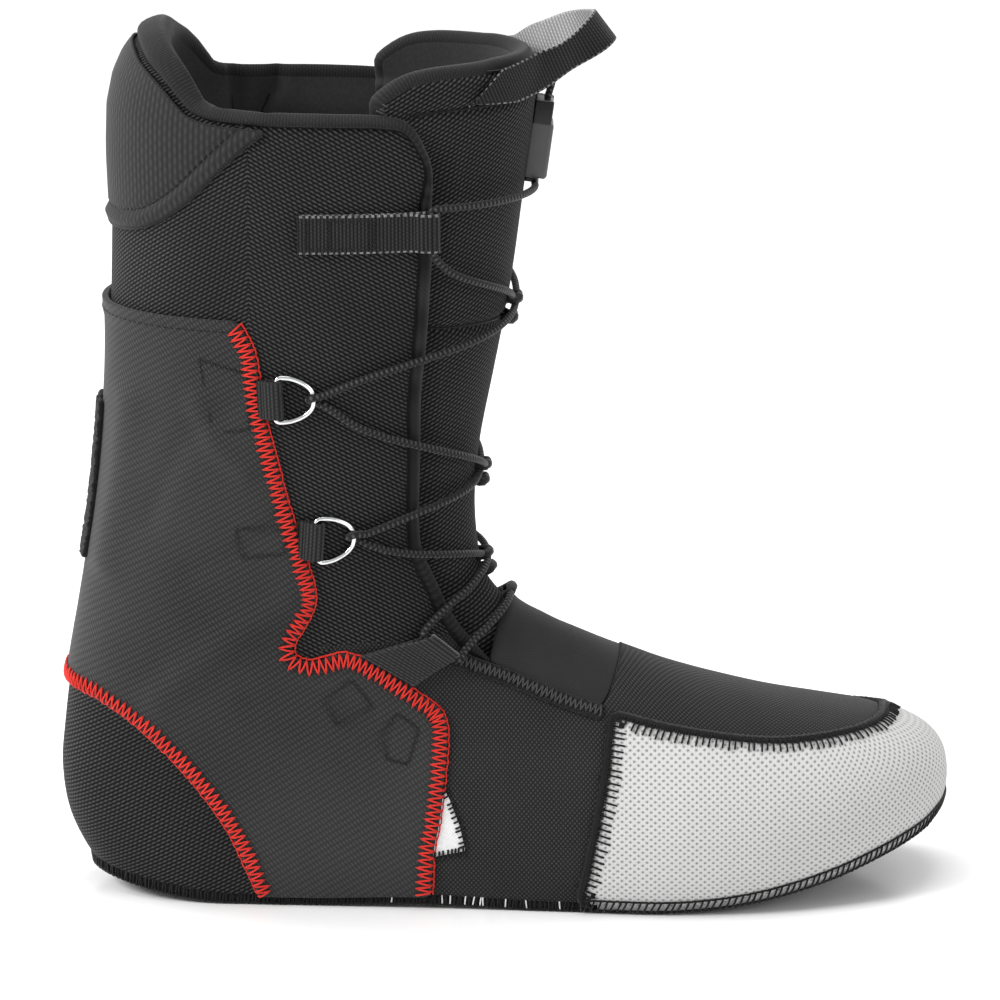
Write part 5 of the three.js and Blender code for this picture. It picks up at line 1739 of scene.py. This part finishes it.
def chain(side):  # the half of the lace that starts on one side; negative is lateral
    own, other = sideWords[side], sideWords[-side]
    over = 1.5 if side > 0 else 0.0
    lockSpot = frontSpot(lockLevel - 0.078, -0.6)
    bar = frontSpot(barLevel, lace["radius"] + 0.35)
    upper, lower = ringEnd("upper", 1.4), ringEnd("lower", 1.4)
    upperBelow, lowerBelow = ringEnd("upper", -1.4), ringEnd("lower", -1.4)
    return np.concatenate([
        run3d([lockSpot, half(strapTop, loopAxis, lockSpot, side)[1], sideSpot(strapTop, side, loopAxis)]),
        throughFold(webPlace(strapEnd, 0, side), 6.3),
        crossRun(crossLevels["high"], strapLow, loopAxis, upper, ringAxis, side, over)[2:],
        roundRing("upper", other),
        crossRun(crossLevels["middle"], upperBelow, ringAxis, lower, ringAxis, -side, over),
        roundRing("lower", own),
        crossRun(crossLevels["low"], lowerBelow, ringAxis, goreUpper, loopAxis, side, over),
        throughFold(gorePlace(-side)[0], 6.2),
        run3d([*half(goreLower, loopAxis, bar, -side), bar]),
    ])


def evenly(points, step=1.2, rounds=6):
    points = points[apart(points, 0.05)]
    length = lengthAlong(points)
    at = np.linspace(0, length[-1], int(length[-1] / step))
    points = np.stack([np.interp(at, length, points[:, k]) for k in range(3)], -1)
    for _ in range(rounds):
        points[1:-1] = (points[:-2] + 2 * points[1:-1] + points[2:]) / 4
    return points


wholeLace = evenly(np.concatenate([chain(-1), chain(1)[::-1]]), 1.1, 4)
dress(threads("lace", [wholeLace], lace["radius"], 12), "lace", "lace_cord",
      "lace_cross_high", "lace_cross_middle", "lace_cross_low", "lace_bar", "lace_top")

# Small cord loops that hold the lace to the front of the tongue
knobs = []
knobPlaces = [(1.522, 0), (1.488, 0.4), (1.232, 0), (1.205, 0.3), (1.076, 0.2), (1.05, 0.4), (1.006, 1.7)]
for level, drop in knobPlaces:
    spot = frontSpot(level, 0)
    lift = laceOnTongue(level) if level > 1.02 else lace["radius"] + 0.4
    turns = np.linspace(-0.15, 0.15, 11)
    rise = np.sqrt(np.clip(1 - (turns / 0.15) ** 2, 0, 1))
    stations = spot[0] + 0.02 * np.sin(np.arange(11) * 1.7)
    knobs.append(onLast(stations, math.pi + turns, lift - 1.6 + rise * (4.0 - drop)))
dress(threads("laceLoops", knobs, 1.5, 9), "blackThread", "lace_cord")

# Cord lock: a body and a darker cap, each a bevelled box
lock = {"wide": 15, "deep": 7.2, "body": 18.5}


def bevelBox(sizes, centre, bevel):
    bpy.ops.object.select_all(action="DESELECT")
    bpy.ops.mesh.primitive_cube_add(size=1)
    box = bpy.context.object
    bpy.ops.object.mode_set(mode="EDIT")
    bpy.ops.transform.resize(value=sizes)
    bpy.ops.mesh.bevel(offset=bevel, segments=4, affect="EDGES")
    bpy.ops.mesh.select_all(action="SELECT")
    bpy.ops.transform.translate(value=centre)
    bpy.ops.object.mode_set(mode="OBJECT")
    return takenApart(box)


lockSpot = frontSpot(lockLevel, -4.35 - 0.5 + lock["deep"] / 2)
at, normal = onLast(*lockSpot), lastNormal(*lockSpot[:2])
up = unit(np.array([0, 0, 1.0]) - normal * normal[2])
across = np.cross(up, normal)
wide, deep = lock["wide"], lock["deep"]
boxes = [  # sizes, centre, bevel, kind: body, two cheeks, top, button and foot
    ((wide, deep + 0.6, lock["body"]), (0, 0, -3.2), 1.3, 0),
    ((2.6, deep - 0.8, 8.4), (wide / 2 - 1.6, -0.2, 9.2), 0.7, 1),
    ((2.6, deep - 0.8, 8.4), (1.6 - wide / 2, -0.2, 9.2), 0.7, 1),
    ((wide - 0.8, deep - 1.6, 2.0), (0, 0, 12.2), 0.6, 1),
    ((7.5, deep - 2.4, 6.5), (0, 0.6, 8.2), 0.8, 1),
    ((9.5, 4.6, 2.6), (0, -1.0, -13.0), 0.8, 1),
]
points, faces, kinds = np.zeros((0, 3)), [], []
for sizes, centre, bevel, kind in boxes:
    boxPoints, boxFaces = bevelBox(sizes, centre, bevel)
    faces += [tuple(v + len(points) for v in face) for face in boxFaces]
    kinds += [kind] * len(boxFaces)
    points = np.concatenate([points, boxPoints])
placed = at + points[:, :1] * across + points[:, 1:2] * normal + points[:, 2:] * up
lockBody = outward(makeMesh("cordLock", placed, faces, None, kinds))
settle(wear(lockBody, "lockGrey", "lockBlack"), "lock_plastic", "cord_lock")
tether = []
for y in (-2.2, 2.2):
    spots = [
        (frontSpot(1.84, -0.4), 1), (frontSpot(1.862, -0.4), 1), (frontSpot(1.9, 1.2), 0.8),
        (frontSpot(tetherLevel, laceOnTongue(tetherLevel)), 0.3),
    ]
    tether.append(evenly(np.array([onLast(*spot) + np.array([0, y * k, 0]) for spot, k in spots]), 0.8, 3))
dress(threads("tether", tether, 1.05, 10), "lace", "lace_cord", "lock_cord")

# Pull loop: a band sewn to both sides of the tongue, meeting in a fold in front
pull = {"level": 1.935, "tilt": 22}
pullRun = [
    [-26, -33.5], [-21, -32.5], [-15, -29.5], [-8, -22.8], [0, -17], [9, -13], [16, -9.8],
    [19.9, -6.2], [21.6, -2.9],
]
pullLine = np.array(pullRun + [[22.1, 0]] + [[a, -b] for a, b in pullRun[::-1]])
c, s = math.cos(math.radians(pull["tilt"])), math.sin(math.radians(pull["tilt"]))
pullSpot = frontSpot(pull["level"], -4.35 + 2)
pullOrigin = onLast(*pullSpot)


def pullPlace(ahead, across, aside):
    across = across * np.clip((ahead + 25) / 13, 0.06, 1)  # sewn in under the seam, so it starts as a wedge
    lean = math.radians(34) * ease((ahead + 8) / 16)  # its upper edge leans outwards
    front = ease((ahead - 8) / 14)
    out = np.where(aside < 0, -1, 1) * np.minimum(np.abs(aside) / 4, 1)
    aside = aside + out * (1 - front) * across * np.sin(lean)
    high = np.where(aside > 0, 4.0, 0)  # the far run stands higher
    bulge = high * np.sin(np.clip((ahead + 8) / 30, 0, 1) * math.pi)
    bend = 0.0068 * np.maximum(ahead, -12) ** 2 - 0.9 + bulge
    ahead = ahead - 0.24 * front * across
    across = across * mix(np.cos(lean), 0.9, front) + bend
    x, z = pullOrigin[0] + ahead * c - across * s, pullOrigin[2] + ahead * s + across * c
    side = np.where(aside < 0, -1, 1)
    station, angle = placeOf(x, z, side)
    skin = onLast(station, angle, 0.55 - tongueDrop(station, angle))
    inView = np.abs(lastPoint(station, angle)[:, 0] - x) < 0.6
    reach = np.where(inView, np.abs(skin[:, 1]) + 0.4, 0)
    y = np.abs(aside)
    soft = (y + reach + np.sqrt((y - reach) ** 2 + 3)) / 2
    y = np.where(ahead > 6, mix(soft, y, ease((ahead - 6) / 8)), soft)
    return np.stack([x, np.where(aside < 0, -y, y), z], -1)


loopBand = ribbon("pullLoop", smoothRun(pullLine, 6), pullPlace, web["half"], 1.3)
settle(wear(loopBand, "paleWebbing", "webbing"), "webbing", "pull_loop")
print("stage: lace, lock and pull loop")

# Seams of the tongue and of the lining


def seamLine(line, side, step, field, least, lift, sink):  # the part of a seam that lies on its cloth
    path = linePath(line, side, step)
    on = field(path["s"], path["a"]) > least
    return (path["point"] + path["normal"] * (lift(path["s"], path["a"]) + sink)[:, None])[on]


seamLines, liningLines = [], []
for side in (-1, 1):
    for line in [tongueRoll] + tongueSeams:
        seamLines.append(seamLine(line, side, 0.8, tongueField, -0.8, tongueOuter, 0.35))
    for line in ([[0.186, 1.89], [0.186, 1.4]], liningGrooves[1]):
        liningLines.append(seamLine(sideLine(line, 8), side, 1.0, shellField, 6, shellInner, -0.35))
seamLines, liningLines = ([run for run in runs if len(run) > 5] for runs in (seamLines, liningLines))
dress(threads("tongueSeams", seamLines, 0.4, 6), "blackThread", "tongue_cloth")
dress(threads("liningSeams", liningLines, 0.45, 6), "blackThread", "knit")

# Overlock on the rear edge of the tongue
tongueEdge = []
overlockLine = sideLine([[0.349, 1.8], [0.35, 1.83], [0.352, 1.86], [0.355, 1.88], [0.36, 1.897]])
overlockLine = overlockLine + np.array([4.2, 0])
for side in (-1, 1):
    path = linePath(overlockLine, side, 0.6)
    tongueEdge += bars(path, -1.8, 1.6, 1.5, lambda u: -4.05 - 0.4 * np.abs(u), 0.2, 0.15)
dress(threads("tongueOverlock", tongueEdge, 0.34, 5), "greyThread", "tongue_cloth")
print("stage: overlock")


# Camera, floor and light
view = {"elevation": 13, "distance": 2.2, "lens": 240.3, "target": (0.0824, 0, 0.128)}
camera = bpy.data.objects.new("camera", bpy.data.cameras.new("camera"))
bpy.context.scene.collection.objects.link(camera)
tilt = math.radians(view["elevation"])
camera.location = Vector(view["target"]) + Vector((0, -math.cos(tilt), math.sin(tilt))) * view["distance"]
camera.rotation_euler = (math.radians(90 - view["elevation"]), 0, 0)
camera.data.lens, camera.data.sensor_width = view["lens"], 36
camera.data.clip_start, camera.data.clip_end = 0.05, 60
bpy.context.scene.camera = camera

bpy.ops.object.select_all(action="DESELECT")
bpy.ops.mesh.primitive_plane_add(size=12, location=(0, 0, -0.0004))
floor = bpy.context.object
floor.name = "floor"
paleFloor = Finish("paleFloor", Roughness=0.16, Specular_IOR_Level=0.5)
paleFloor.put("Base Color", paleFloor.blend(paleFloor.noise(3, 2.0), grey(0.93), grey(0.96)))
floor.data.materials.append(paleFloor.material)
floor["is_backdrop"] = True

lights = {  # place, target, size, power
    "key": ((-1.75, -0.95, 1.45), (0.03, 0, 0.15), 0.8, 50),
    "front": ((1.6, -1.0, 0.7), (0.08, 0, 0.12), 0.9, 9),
    "top": ((0.1, 0.2, 2.2), (0.08, 0, 0.1), 1.3, 26),
    "rim": ((-1.5, 0.8, 0.9), (0.0, 0, 0.2), 0.7, 16),
    "low": ((-1.5, -1.1, 0.3), (0.0, 0, 0.06), 1.2, 6),
    "rear": ((0.9, 1.7, 1.2), (0.05, 0, 0.15), 1.2, 10),
}
for name, (place, target, size, power) in lights.items():
    lamp = bpy.data.lights.new(name, "AREA")
    lamp.shape, lamp.size, lamp.energy = "SQUARE", size, power
    holder = bpy.data.objects.new(name, lamp)
    bpy.context.scene.collection.objects.link(holder)
    holder.location = place
    holder.rotation_euler = (Vector(target) - Vector(place)).to_track_quat("-Z", "Y").to_euler()
world = bpy.data.worlds.new("studio")
bpy.context.scene.world = world
world.use_nodes = True
world.node_tree.nodes["Background"].inputs["Color"].default_value = (1, 1, 1, 1)
world.node_tree.nodes["Background"].inputs["Strength"].default_value = 0.7
bpy.context.scene.view_settings.view_transform = "Standard"

lookLow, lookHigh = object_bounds()
boxLow, boxHigh = ([round(v * 1000, 1) for v in corner] for corner in (lookLow, lookHigh))
print("stage: camera, floor and light; box", boxLow, boxHigh)
